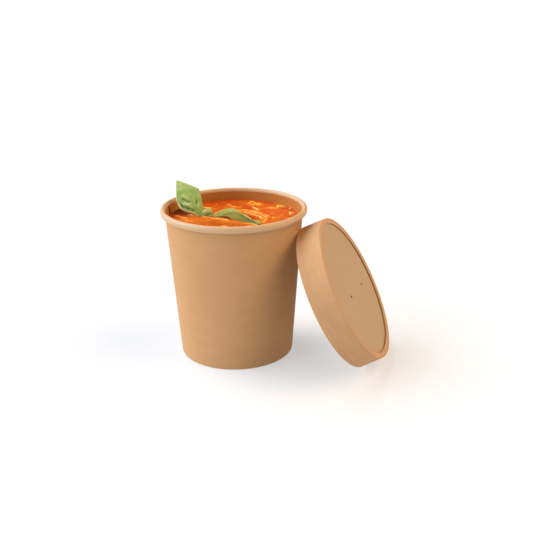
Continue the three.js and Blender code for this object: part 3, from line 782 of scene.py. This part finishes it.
def diced(x, y, width, depth, turn):
    """One dice: a cube cut into small squares, rounded by blending it with a ball."""
    edit = bmesh.new()
    bmesh.ops.create_cube(edit, size=2.0)
    bmesh.ops.subdivide_edges(edit, edges=edit.edges, cuts=5, use_grid_fill=True)
    for vertex in edit.verts:
        place = vertex.co.lerp(vertex.co.normalized() * MORSEL_BALL, MORSEL_ROUNDING)
        place *= 1 + MORSEL_UNEVEN * noise(place * 1.3 + Vector((x, y, 0)))
        vertex.co = Vector((place.x * width / 2, place.y * depth / 2, place.z * MORSEL_DEPTH / 2))
    tilt = Matrix.Rotation(MORSEL_TILT, 4, Vector((math.cos(x), math.sin(x), 0)))
    turned = Matrix.Rotation(math.radians(turn), 4, "Z") @ tilt
    edit.transform(Matrix.Translation((x, y, SOUP_LEVEL - MORSEL_SINK)) @ turned)
    return edit


morsel_mesh = bpy.data.meshes.new("diced_vegetables")
together = bmesh.new()
for morsel in MORSELS:
    edit = diced(*morsel)
    single = bpy.data.meshes.new("dice")
    edit.to_mesh(single)
    edit.free()
    together.from_mesh(single)
    bpy.data.meshes.remove(single)
together.to_mesh(morsel_mesh)
together.free()
morsel_mesh.materials.append(noodle_skin)
morsels = placed("diced_vegetables", morsel_mesh)
settle(morsels, TUB_TO_FRAME, 180)
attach(morsels, "root")
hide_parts("soup")

# Beads of oil: flat drops of red oil, from pinheads to lentils, that gather on the broth. One
# drop is scattered over the surface at drawn places and sizes.
BEAD_RADIUS = 0.55
BEADS_PER_SQUARE_MM = 0.05
BEAD_FIELD = 41
BEAD_SEED = 4


def bead_tree():
    sizes = {"Density": "Float", "Bead radius": "Float", "Seed": "Int", "Oil": "Material"}
    tree, given = new_tree("oil beads", sizes)
    scatter = {"Mesh": given["Geometry"], "Density": given["Density"], "Seed": given["Seed"]}
    spots = wire(tree, "GeometryNodeDistributePointsOnFaces", scatter).outputs[0]
    sphere = {"Segments": 14, "Rings": 8, "Radius": given["Bead radius"]}
    ball = wire(tree, "GeometryNodeMeshUVSphere", sphere).outputs[0]
    draws = wire(tree, "FunctionNodeRandomValue", {"Seed": given["Seed"]}, data_type="FLOAT").outputs["Value"]
    spread = maths(tree, "ADD", 0.25, maths(tree, "POWER", draws, 3.0))
    flat = maths(tree, "MULTIPLY", spread, 0.3)
    shape = wire(tree, "ShaderNodeCombineXYZ", {"X": spread, "Y": spread, "Z": flat}).outputs[0]
    beads = wire(tree, "GeometryNodeInstanceOnPoints", {"Points": spots, "Instance": ball, "Scale": shape})
    return finished(tree, beads.outputs[0], given["Oil"])


oil, tree, shader = new_material("oil", {"Base Color": (0.85, 0.22, 0.02, 1), "Roughness": 0.08})
bead_field = bpy.data.meshes.new("oil_beads")
bearings = [math.radians(a) for a in range(0, 360, 10)]
edge = [(BEAD_FIELD * math.cos(a), BEAD_FIELD * math.sin(a), SOUP_LEVEL + 0.02) for a in bearings]
bead_field.from_pydata(edge, [], [tuple(range(len(edge)))])
values = {
    "Density": BEADS_PER_SQUARE_MM, "Bead radius": BEAD_RADIUS, "Seed": BEAD_SEED, "Oil": oil,
}
oil_beads = grown("oil_beads", bead_field, bead_tree(), values)
settle(oil_beads, TUB_TO_FRAME, 180)
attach(oil_beads, "root")
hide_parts("soup")

# The basil sprig: a tall leaf that leans back over the rim, a long leaf that arches over the
# soup, and a pair of young leaves between them. A basil leaf is quilted: it bulges between its
# veins, which are sunk and pale, and its underside is paler than its upper side.
LEAF_THICK = 0.4
MARGIN_THICK = 0.22
MIDRIB_WIDTH = 0.45
MIDRIB_DEPTH = 0.22
RIB_HEIGHT = 0.3
VEIN_BEND = 0.16
VEIN_WIDTH = 0.09
FOLD_DEPTH = 0.4
CURL_ANGLE = 150
CURL_START = 0.5
CURL_LENGTH = 1.2
FULL_HEM = 1.5
CREASE_BREADTH = 0.08
NARROWEST = 0.12


def along_leaf(table, count):
    """A smooth curve through (place, value) pairs, read at even places from base to tip."""
    line = smooth_line([(place, value, 0) for place, value in table], 300)
    return np.interp(np.linspace(0, 1, count), [p.x for p in line], [p.y for p in line])


def leaf_half(half, length, side, rows, cells, seed):
    """One half of a blade, from the midrib outward: for each row and cell the distance across,
    the height over the blade's plane, and the marks of veins, tones with painted light and shade,
    margin and hem."""
    width, slope, hem, swell = (
        along_leaf(half[key], rows + 1)[:, None] for key in ("width", "slope", "hem", "swell")
    )
    width, hem = np.maximum(width, NARROWEST), np.maximum(hem, 0.0)
    q = np.linspace(0, 1, cells + 1)[None, :]
    u = np.linspace(0, 1, rows + 1)[:, None]

    def unevenness(along, over, number):
        places = [[Vector((a * along, side * b * over, number)) for b in q[0]] for a in u[:, 0]]
        return np.array([[noise(place) for place in row] for row in places])

    reach = (width + hem) * q
    turned = np.clip((reach - width + CURL_START) / CURL_LENGTH, 0, 1)
    curl = CURL_ANGLE * np.minimum(hem / FULL_HEM, 1.0) * turned * turned * (3 - 2 * turned)
    angle = np.radians(curl - slope)
    step = (width + hem) / cells
    across = np.cumsum(np.cos(angle) * step, axis=1) - np.cos(angle) * step
    height = np.cumsum(np.sin(angle) * step, axis=1) - np.sin(angle) * step
    veins = half["veins"]
    beat = np.interp((u - half["slant"] * q - VEIN_BEND * q * q).ravel(), veins, range(len(veins)))
    beat = beat.reshape(rows + 1, cells + 1)
    cell = np.floor(beat).astype(int)
    draws = np.random.default_rng(seed).uniform(0.5, 1.0, len(veins) + 1)
    taper = np.minimum(1.0, width / 3.0)
    clear = np.clip((width - 0.8 * hem - reach) / (0.25 * width), 0, 1)
    bulge = np.sin(np.pi * beat) ** 2 * draws[cell] * np.minimum(1.0, q * 3.5) * clear
    crumple = unevenness(4.5, 2.0, seed) + 0.3 * unevenness(13, 5.0, seed + 4)
    midline = np.exp(-((reach / MIDRIB_WIDTH) ** 2))
    rise = swell * taper * (bulge + 0.6 * crumple * np.minimum(1.0, q * 4))
    rise -= MIDRIB_DEPTH * midline * taper
    folds = np.zeros(reach.shape)
    place = np.stack([np.broadcast_to(u * length, reach.shape), reach], axis=2)
    for start, end, breadth, depth in half.get("folds", ()):
        foot = np.array([start[0] * length, start[1]])
        run = np.array([end[0] * length, end[1]]) - foot
        along = np.clip((place - foot) @ run / (run @ run), 0, 1)
        gap = np.linalg.norm(place - foot - along[:, :, None] * run, axis=2)
        folds += depth * np.exp(-((gap / breadth) ** 2))
    rise -= FOLD_DEPTH * taper * folds
    folded = turned * (hem > 0.3)
    rise *= 1 - folded
    beside = np.abs(beat - np.round(beat))
    vein = np.exp(-((beside / VEIN_WIDTH) ** 2)) * (1 - 0.65 * q) * np.minimum(1.0, 6 * (1 - u))
    # Painted shade in the folds and painted light on the ridges, on top of the half's painted shade
    tone = 0.5 + 0.5 * unevenness(3.2, 1.8, seed + 9) + (half["shade"] - 0.6 * folds)
    # Painted light beyond the crease and a dark line of painted shade along it
    if "crease" in half:
        at, drift, depth = half["crease"]
        past = u - at - drift * reach
        tone += 0.4 * np.clip(past / CREASE_BREADTH + 0.5, 0, 1)
        tone -= depth * np.exp(-((past / CREASE_BREADTH + 0.9) ** 2))
        rise -= 0.15 * taper * np.exp(-((past / 0.05) ** 2))
    margin = np.clip((q - 1) * (width + hem) / 0.5 + 1, 0, 1)
    return across - rise * np.sin(angle), height + rise * np.cos(angle), midline, vein, tone, margin, folded


def leaf(name, midrib, across, left, right, rows, cells, skin, seed):
    """A leaf blade on its midrib. Each half gives from base to tip its width and the part of its
    margin that curls over in mm, how far it slopes down in degrees, and how far it bulges. It
    also has the places of its side veins, how they slant, and its shade: how much lighter or
    darker the half is painted as a whole, which is painted light and shade. Folds run between two
    points (place along, mm across), each with its breadth and its depth, less than 0 for a ridge;
    folds are painted darker and ridges lighter, as painted shade and light. A crease may cross the
    half: the blade is painted lighter beyond it, with a dark line of painted shade along it."""
    spine = smooth_line(midrib, rows + 1)
    across = Vector(across)
    length = sum((b - a).length for a, b in zip(spine, spine[1:]))
    halves = [
        leaf_half(left, length, -1, rows, cells, seed),
        leaf_half(right, length, 1, rows, cells, seed + 1),
    ]
    place = np.zeros((rows + 1, 2 * cells + 1, 3))
    for i, centre in enumerate(spine):
        along = (spine[min(i + 1, rows)] - spine[max(i - 1, 0)]).normalized()
        side = (across - along * across.dot(along)).normalized()
        up = side.cross(along)
        for half, sign in zip(halves, (-1, 1)):
            span = slice(cells, None, -1) if sign < 0 else slice(cells, None)
            outward, height = half[0][i], half[1][i]
            place[i, span] = np.array(centre) + np.outer(sign * outward, side) + np.outer(height, up)
    midline, vein, tone, margin, hem = (
        np.concatenate([halves[0][k][:, :0:-1], halves[1][k]], axis=1) for k in range(2, 7)
    )
    normal = np.cross(np.gradient(place, axis=1), np.gradient(place, axis=0))
    normal /= np.linalg.norm(normal, axis=2)[:, :, None]
    thick = (LEAF_THICK + (MARGIN_THICK - LEAF_THICK) * margin)[:, :, None] / 2
    top = (place + normal * thick).reshape(-1, 3)
    under = (place - normal * (thick + RIB_HEIGHT * midline[:, :, None])).reshape(-1, 3)
    row = 2 * cells + 1
    count = len(top)
    faces = []
    for i in range(rows):
        for j in range(row - 1):
            a = i * row + j
            faces.append((a, a + 1, a + row + 1, a + row))
            faces.append((count + a, count + a + row, count + a + row + 1, count + a + 1))
        first, last = i * row, i * row + row - 1
        faces.append((first, first + row, count + first + row, count + first))
        faces.append((last, count + last, count + last + row, last + row))
    for j in range(row - 1):
        tip = rows * row + j
        faces.append((j, count + j, count + j + 1, j + 1))
        faces.append((tip, tip + 1, count + tip + 1, count + tip))
    mesh = bpy.data.meshes.new(name)
    mesh.from_pydata(np.concatenate([top, under]).tolist(), [], faces)
    marks = {"rib": np.maximum(midline, vein), "tone": tone, "margin": margin, "hem": hem}
    marks = {label: np.tile(values.ravel(), 2) for label, values in marks.items()}
    set_marks(mesh, {**marks, "underside": np.repeat([0.0, 1.0], count)})
    mesh.materials.append(skin)
    piece = placed(name, mesh)
    settle(piece, TUB_TO_FRAME, 70)
    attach(piece, "root")
    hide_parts("basil_sprig")


def leaf_material(name, deep, fresh, pale):
    """A basil leaf: darker and fresher patches that also carry its painted light and shade, pale
    veins, a paler underside, a hem painted paler still and a soft gloss.
    """
    material, tree, shader = new_material(name, {"Roughness": 0.45, "Specular IOR Level": 0.12})
    grain = cloudy(tree, food_coordinates(tree), 1.6, 4.0)
    darkest = tuple(0.35 * c for c in deep)
    lightest = tuple((c + d) / 2 for c, d in zip(fresh, pale))
    palest = tuple(min(1.25 * c, 1) for c in pale)
    colour = ramp(tree, mark(tree, "tone"), (0.0, darkest), (0.25, deep), (0.75, fresh), (1.0, lightest))
    colour = tinted(tree, colour, ramp(tree, grain, (0.45, 0.0), (0.65, 1.0)), 0.3, deep)
    # The hem is painted paler than the underside it shows: partly its underside colour, partly painted light
    # on the curled strip that faces away from the light
    for label, strength, tint in (
        ("rib", 0.28, pale), ("margin", 0.35, pale), ("underside", 0.6, pale), ("hem", 0.8, palest),
    ):
        colour = tinted(tree, colour, mark(tree, label), strength, tint)
    tree.links.new(colour, shader.inputs["Base Color"])
    embossed(tree, shader, grain, 0.3, 0.00012)
    return material


LEVEL = ((0, 0), (0.5, 0), (1, 0))
light_leaf = leaf_material("light basil leaf", (0.17, 0.31, 0.045), (0.36, 0.52, 0.155), (0.52, 0.64, 0.30))
green_leaf = leaf_material("green basil leaf", (0.17, 0.145, 0.010), (0.34, 0.33, 0.05), (0.50, 0.50, 0.17))
leaf(
    "tall_leaf",
    [(-23.3, 4.5, 94.7), (-27.7, 6.6, 101.2), (-33.5, 10, 109.2), (-39.4, 14, 117.2)],
    (0.81, 0.21, 0.55),
    {
        "width": ((0, 0.5), (0.1, 2.2), (0.19, 4.7), (0.27, 6.5), (0.36, 8), (0.42, 8.7), (0.5, 8.2),
                  (0.6, 7.4), (0.69, 6.1), (0.8, 4.3), (0.92, 1.9), (1, 0.1)),
        "slope": ((0, 20), (0.5, 12), (1, 4)),
        "hem": ((0, 0.5), (0.1, 1.9), (0.3, 2.6), (0.42, 2.4), (0.55, 1.4), (0.65, 0.6), (0.78, 0), (1, 0)),
        "swell": ((0, 0.2), (0.15, 0.7), (0.3, 1.2), (0.45, 1.2), (0.62, 0.6), (1, 0.2)),
        "veins": (-0.8, -0.3, -0.1, 0.09, 0.34, 0.62, 0.9, 1.2), "slant": 0.42, "shade": 0.1,
        "crease": (0.74, 0.0175, 0.2),
        "folds": (
            ((0.39, 0.8), (0.56, 3.6), 0.55, 1.0), ((0.08, 0.8), (0.19, 2.0), 0.5, 0.7),
            ((0.19, 2.0), (0.30, 3.8), 0.6, 1.3), ((0.30, 3.8), (0.44, 6.8), 0.5, 0.55),
            ((0.50, 0.5), (0.60, 2.0), 1.6, -0.9), ((0.35, 1.6), (0.43, 4.4), 0.9, -0.7),
            ((0.20, 0.4), (0.34, 0.4), 0.5, 0.4),
        ),
    },
    {
        "width": ((0, 0.6), (0.06, 3.2), (0.11, 4.6), (0.19, 5.8), (0.36, 7.8), (0.46, 8.9), (0.53, 9.5),
                  (0.58, 9.1), (0.74, 6), (0.84, 3.9), (0.95, 1.6), (1, 0.1)),
        "slope": ((0, 25), (0.5, 10), (1, 4)),
        "hem": LEVEL,
        "swell": ((0, 0.2), (0.2, 0.35), (0.45, 0.35), (0.7, 0.25), (1, 0.1)),
        "veins": (-0.8, -0.3, -0.1, 0.08, 0.3, 0.55, 0.8, 1.2), "slant": 0.36, "shade": 0.1,
        "crease": (0.74, -0.019, 0.1),
        "folds": (
            ((0.20, 2.6), (0.25, 4.2), 0.9, -0.6), ((0.29, 2.4), (0.34, 3.6), 0.55, 0.8),
            ((0.36, 7.2), (0.58, 8.2), 1.0, -0.5), ((0.34, 0.6), (0.50, 2.0), 0.6, 0.35),
        ),
    },
    120, 44, light_leaf, 31,
)
LONG_LEAF_VEINS = (-0.5, -0.1, 0.08, 0.2, 0.33, 0.46, 0.59, 0.73, 0.88, 1.1)
# The long leaf's back half is painted lighter and its front half darker: painted light and shade of a blade
# folded like a roof
leaf(
    "long_leaf",
    [(-15.4, 4.6, 94.3), (-12.2, 4.2, 94.7), (-9.6, 4.1, 95.6), (-4.3, 2.4, 98), (-1.6, 1, 98.9),
     (2.9, -1.8, 98.8), (7.6, -4.8, 97.6), (11.5, -8.6, 96.2), (14.9, -12.5, 95.4), (18.2, -15.6, 95)],
    (-0.45, -0.89, 0),
    {
        "width": ((0, 0.4), (0.04, 2.4), (0.1, 3.9), (0.2, 4.4), (0.33, 4.0), (0.5, 4.2), (0.65, 4.4),
                  (0.8, 4), (0.92, 2.6), (1, 0.1)),
        "slope": ((0, -35), (0.2, -30), (0.33, -14), (0.5, 18), (0.7, 45), (0.85, 5), (1, 0)),
        "hem": LEVEL,
        "swell": ((0, 0.1), (0.3, 0.3), (1, 0.2)),
        "veins": LONG_LEAF_VEINS, "slant": 0.2, "shade": 0.3,
        "folds": (((0.12, 0.2), (0.55, 0.5), 1.4, 0.75),),
    },
    {
        "width": ((0, 0.4), (0.1, 1.3), (0.2, 2.4), (0.35, 4.6), (0.5, 6), (0.65, 5.6),
                  (0.8, 4.4), (0.92, 2.5), (1, 0.1)),
        "slope": ((0, 10), (0.2, 40), (0.5, 48), (0.8, 38), (1, 8)),
        "hem": LEVEL,
        "swell": ((0, 0.1), (0.3, 0.3), (0.7, 0.35), (1, 0.1)),
        "veins": LONG_LEAF_VEINS, "slant": 0.2, "shade": -0.2,
    },
    130, 32, green_leaf, 52,
)
young_leaf = leaf_material("young basil leaf", (0.17, 0.34, 0.05), (0.36, 0.58, 0.15), (0.58, 0.72, 0.34))
YOUNG_LEAF_BOW = 0.9
# Their shade paints both young leaves lighter, the left one most: painted light that lifts them out of the
# shade between the larger leaves
for name, foot, tip, widths, seed in (
    ("young_leaf_left", (-20.4, 5.0, 94.2), (-18.3, 5.5, 99.7), (2.6, 2.8), 71),
    ("young_leaf_right", (-17.5, 5.9, 94.2), (-16.0, 6.0, 99.8), (3.4, 2.0), 77),
):
    middle = [(a + b) / 2 for a, b in zip(foot, tip)]
    middle[1] -= YOUNG_LEAF_BOW
    left, right = (
        {
            "width": ((0, 0.6 * w), (0.3, w), (0.6, 0.85 * w), (0.85, 0.45 * w), (1, 0.1)),
            "slope": ((0, 20), (1, 12)),
            "hem": LEVEL,
            "swell": ((0, 0.1), (0.5, 0.4), (1, 0.1)),
            "veins": (-0.6, -0.2, 0.1, 0.35, 0.6, 0.9, 1.2), "slant": 0.2, "shade": shade,
        }
        for w, shade in zip(widths, (0.7, 0.45))
    )
    leaf(name, [foot, middle, tip], (0.97, 0.2, 0.1), left, right, 48, 14, young_leaf, seed)

# The stem of the sprig and the leaf stalks: green and juicy, half sunk in the soup. The stem
# goes down into the broth, and the stalks join it where the leaves meet.
STEM_RADIUS = 0.9
STEM_SIDES = 16
stem_node = (-19.2, 4.8, 93.9)
stem_lines = [
    smooth_line([(-12.5, 1, 84), (-16.5, 3.6, 90), stem_node], 24),
    smooth_line([(-23.9, 4.8, 95.5), (-21.5, 4.6, 94.3), stem_node, (-17, 5, 94.2), (-14.8, 5, 94.7)], 30),
]
stem_skin, tree, shader = new_material("basil stem", {"Roughness": 0.4})
streak = cloudy(tree, food_coordinates(tree), 1.2)
tone = ramp(tree, streak, (0.35, (0.20, 0.30, 0.08)), (0.65, (0.36, 0.45, 0.16)))
tree.links.new(tone, shader.inputs["Base Color"])
stems = strands("basil_stems", stem_lines, STEM_RADIUS, STEM_SIDES, stem_skin)
settle(stems, TUB_TO_FRAME, 60)
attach(stems, "root")
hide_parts("basil_sprig")

# The lid's band: a strip of board bent round and glued like the wall. Its lower edge is turned
# in as a bead that grips the tub's rim, and its upper edge is folded in over the disc as a lip
# that slopes down inward.
LID_HEIGHT = 17.0
LID_MOUTH_RADIUS = 50.6
LID_FACE_RADIUS = 50.0
LID_BOARD = 0.7
LID_BEAD_HEIGHT = 1.6
LID_CORNER = 1.0
LIP_WIDTH = 3.7
LIP_THICK = 1.35
LIP_DROP = 0.6
LID_GAP = 0.3
LID_SEAM_START = -90.3
LID_SEAM_LAP = 12.0
LID_CREASES = (3.1, 4.6)
CREASE_DEPTH = 0.12
CREASE_WIDTH = 0.3
GRIP_ROUNDING = 0.5
MOUTH_ROUNDING = 0.4
FOLD_LAND = 0.6
LIP_SEAM_PART = -1.5
BAND_HEIGHTS = np.arange(0.8, 15.9, 0.25)
BAND_COLUMNS = 440
BAND_DARK = (0.49, 0.265, 0.122)
BAND_LIGHT = (0.55, 0.308, 0.148)
LID_X = 66.55
LID_Y = -19.67
LID_TURN = -13.61
LID_TILT = 27.99
lid_slope = (LID_FACE_RADIUS - LID_MOUTH_RADIUS) / LID_HEIGHT

turn, tilt = math.radians(LID_TURN), math.radians(LID_TILT)
face_normal = Vector((math.cos(turn) * math.cos(tilt), math.sin(turn) * math.cos(tilt), math.sin(tilt)))
level = Vector((-math.sin(turn), math.cos(turn), 0))
upslope = face_normal.cross(level)
lid_axes = Matrix((level, upslope, face_normal)).transposed().to_4x4()


def band_outer(z):
    crease = sum(CREASE_DEPTH * bell(z - at, CREASE_WIDTH) for at in LID_CREASES)
    return LID_MOUTH_RADIUS + lid_slope * z - crease


def band_inner(z):
    return LID_MOUTH_RADIUS + lid_slope * z - LID_BOARD


lip_edge = LID_FACE_RADIUS - LIP_WIDTH
lip_foot = LID_HEIGHT - LIP_THICK
lip_half = (LIP_THICK - LIP_DROP) / 2
bead = LID_MOUTH_RADIUS - LID_BEAD_HEIGHT
lip_arc = arc(lip_edge + lip_half, lip_foot + lip_half, lip_half, lip_half, 90, 270, 12)
band_outline = [
    (band_inner(LID_BEAD_HEIGHT + FOLD_LAND), LID_BEAD_HEIGHT + FOLD_LAND),
    *arc(bead + GRIP_ROUNDING, LID_BEAD_HEIGHT - GRIP_ROUNDING, GRIP_ROUNDING, GRIP_ROUNDING, 60, 180, 4),
    *arc(bead + GRIP_ROUNDING, GRIP_ROUNDING, GRIP_ROUNDING, GRIP_ROUNDING, 180, 270, 4),
    *arc(LID_MOUTH_RADIUS - MOUTH_ROUNDING, MOUTH_ROUNDING, MOUTH_ROUNDING, MOUTH_ROUNDING, 270, 350, 4),
    *[(band_outer(z), z) for z in BAND_HEIGHTS],
    *arc(LID_FACE_RADIUS - LID_CORNER, LID_HEIGHT - LID_CORNER, LID_CORNER, LID_CORNER, 5, 90, 8),
    *lip_arc,
    (band_inner(lip_foot) - FOLD_LAND, lip_foot),
    (band_inner(lip_foot - FOLD_LAND), lip_foot - FOLD_LAND),
]
band_sides = []
for r, z in band_outline:
    if (r, z) in lip_arc:
        band_sides.append(LIP_SEAM_PART)
    elif r > band_inner(z) + 0.1 and z < LID_HEIGHT - 0.5:
        band_sides.append(1.0)
    else:
        band_sides.append(0.0)
band_board = board_material("lid band board", BAND_DARK, BAND_LIGHT, 0.62, scuffs=0.4)
lid_ring = bent_board(
    "lid_band", band_outline, band_sides, LID_FACE_RADIUS, BAND_COLUMNS, LID_SEAM_LAP, SEAM_STEP,
    LID_SEAM_START, band_board,
)
lowest = min((lid_axes @ vertex.co).z for vertex in lid_ring.data.vertices)
LID_TO_FRAME = TUB_TO_FRAME @ Matrix.Translation((LID_X, LID_Y, -lowest)) @ lid_axes
settle(lid_ring, LID_TO_FRAME)
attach(lid_ring, "root")
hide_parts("lid_ring")

# The lid's disc: a flat round of board under the lip, its edge turned down inside the band.
# Two small vents are punched through it, and their walls are painted near black as the shade inside the
# holes.
DISC_BOARD = 0.6
DISC_CORNER = 1.0
DISC_ROOT = 0.4
DISC_FOOT = 3.0
DISC_RINGS = (0, 20, 38)
DISC_DARK = (0.433, 0.296, 0.177)
DISC_LIGHT = (0.458, 0.316, 0.191)
VENT_RADIUS = 0.95
VENTS = ((-14.0, -1.0), (19.5, -5.2))


def disc_outer(z):
    return band_inner(z) - LID_GAP


def disc_inner(z):
    return disc_outer(z) - DISC_BOARD


disc_top = LID_HEIGHT - LIP_THICK - LID_GAP
disc_outline = dish(
    DISC_RINGS, disc_top, DISC_FOOT, DISC_BOARD, disc_outer, disc_inner, DISC_ROOT, DISC_CORNER
)
disc_board = board_material("lid disc board", DISC_DARK, DISC_LIGHT, 0.75)
lid_disc = bent_board(
    "lid_disc_face", disc_outline, [0.0] * len(disc_outline), LID_FACE_RADIUS, DISC_COLUMNS,
    LID_SEAM_LAP, 0.0, 0.0, disc_board,
)
# Near black paint on the vents' walls: painted shade inside the holes
vent_shade = new_material("painted vent shade", {"Base Color": (0.02, 0.009, 0.003, 1), "Roughness": 0.9})[0]
lid_disc.data.materials.append(vent_shade)
cutter_mesh = bpy.data.meshes.new("vent_cutters")
edit = bmesh.new()
for x, y in VENTS:
    bmesh.ops.create_cone(
        edit, cap_ends=True, segments=32, radius1=VENT_RADIUS, radius2=VENT_RADIUS, depth=4,
        matrix=Matrix.Translation((x, y, disc_top)),
    )
edit.to_mesh(cutter_mesh)
edit.free()
cutter_mesh.materials.append(disc_board)
cutter_mesh.materials.append(vent_shade)
cutter_mesh.polygons.foreach_set("material_index", [1] * len(cutter_mesh.polygons))
cutter = placed("vent_cutters", cutter_mesh)
punch = lid_disc.modifiers.new("vents", "BOOLEAN")
punch.operation = "DIFFERENCE"
punch.solver = "EXACT"
punch.object = cutter
evaluated = lid_disc.evaluated_get(bpy.context.evaluated_depsgraph_get())
punched = bpy.data.meshes.new_from_object(evaluated)
lid_disc.modifiers.remove(punch)
lid_disc.data = punched
bpy.data.objects.remove(cutter)
settle(lid_disc, LID_TO_FRAME)
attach(lid_disc, "root")
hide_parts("lid_disc")

# The photo studio: a pale round table, lit from below too, whose far edge sweeps up, the camera
# and soft lights
CAMERA_HEIGHT = 253.2
CAMERA_AWAY = 526.7
CAMERA_SIDE = 27.15
CAMERA_DOWN = 20.81
CAMERA_ROLL = -0.49
CAMERA_FOCAL_PIXELS = 813.74
IMAGE_PIXELS = 550
SENSOR_MM = 36.0

camera = placed("camera", bpy.data.cameras.new("camera"))
camera.data.sensor_width = SENSOR_MM
camera.data.lens = CAMERA_FOCAL_PIXELS / IMAGE_PIXELS * SENSOR_MM
camera.data.clip_end = 50.0
place = tub_axis + Vector((CAMERA_SIDE, -CAMERA_AWAY, CAMERA_HEIGHT)) * 0.001
facing = Matrix.Rotation(math.radians(90 - CAMERA_DOWN), 4, "X")
facing = facing @ Matrix.Rotation(math.radians(CAMERA_ROLL), 4, "Z")
camera.matrix_world = Matrix.Translation(place) @ facing
bpy.context.scene.camera = camera

TABLE_SWEEP = ((9, 0), (10, 0.15), (10.6, 0.6), (10.9, 1.2), (11, 1.8))
TABLE_SIDES = 96
table_mesh = bpy.data.meshes.new("table")
around = [2 * math.pi * i / TABLE_SIDES for i in range(TABLE_SIDES)]
points = [(r * math.cos(a), r * math.sin(a), z) for r, z in TABLE_SWEEP for a in around]
faces = [tuple(range(TABLE_SIDES))]
for ring in range(len(TABLE_SWEEP) - 1):
    faces += ring_faces(ring * TABLE_SIDES, TABLE_SIDES)
table_mesh.from_pydata(points, [], faces)
table_mesh.shade_smooth()
table = placed("table", table_mesh)
table_levels = {
    "Base Color": (0.4, 0.4, 0.4, 1), "Roughness": 0.9, "Specular IOR Level": 0.0,
    "Emission Color": (1.0, 1.0, 1.0, 1), "Emission Strength": 0.48,
}
table_mesh.materials.append(new_material("pale table", table_levels)[0])


def soft_light(name, side, height, breadth, colour):
    """A broad lamp at a bearing from the camera's side, a height and a breadth in degrees. Its
    colour holds its strength too: 1 makes a white sheet that faces it white."""
    lamp = bpy.data.lights.new(name, "SUN")
    lamp.angle = math.radians(breadth)
    lamp.energy = math.pi * max(colour)
    lamp.color = [c / max(colour) for c in colour]
    bearing, rise = math.radians(side), math.radians(height)
    level = math.cos(rise)
    towards = Vector((math.sin(bearing) * level, -math.cos(bearing) * level, math.sin(rise)))
    placed(name, lamp).rotation_euler = towards.to_track_quat("Z", "Y").to_euler()


soft_light("back light", -120, 45, 60, (0.90, 0.99, 1.13))
soft_light("front light", -66, 22, 50, (0.77, 0.83, 0.90))
soft_light("right light", 84, 45, 50, (0.87, 0.64, 0.41))
world = bpy.data.worlds.new("studio")
bpy.context.scene.world = world
world.use_nodes = True
backdrop = world.node_tree.nodes["Background"]
backdrop.inputs["Color"].default_value = (1.0, 1.0, 1.0, 1)
backdrop.inputs["Strength"].default_value = 0.02
bpy.context.scene.view_settings.view_transform = "Standard"
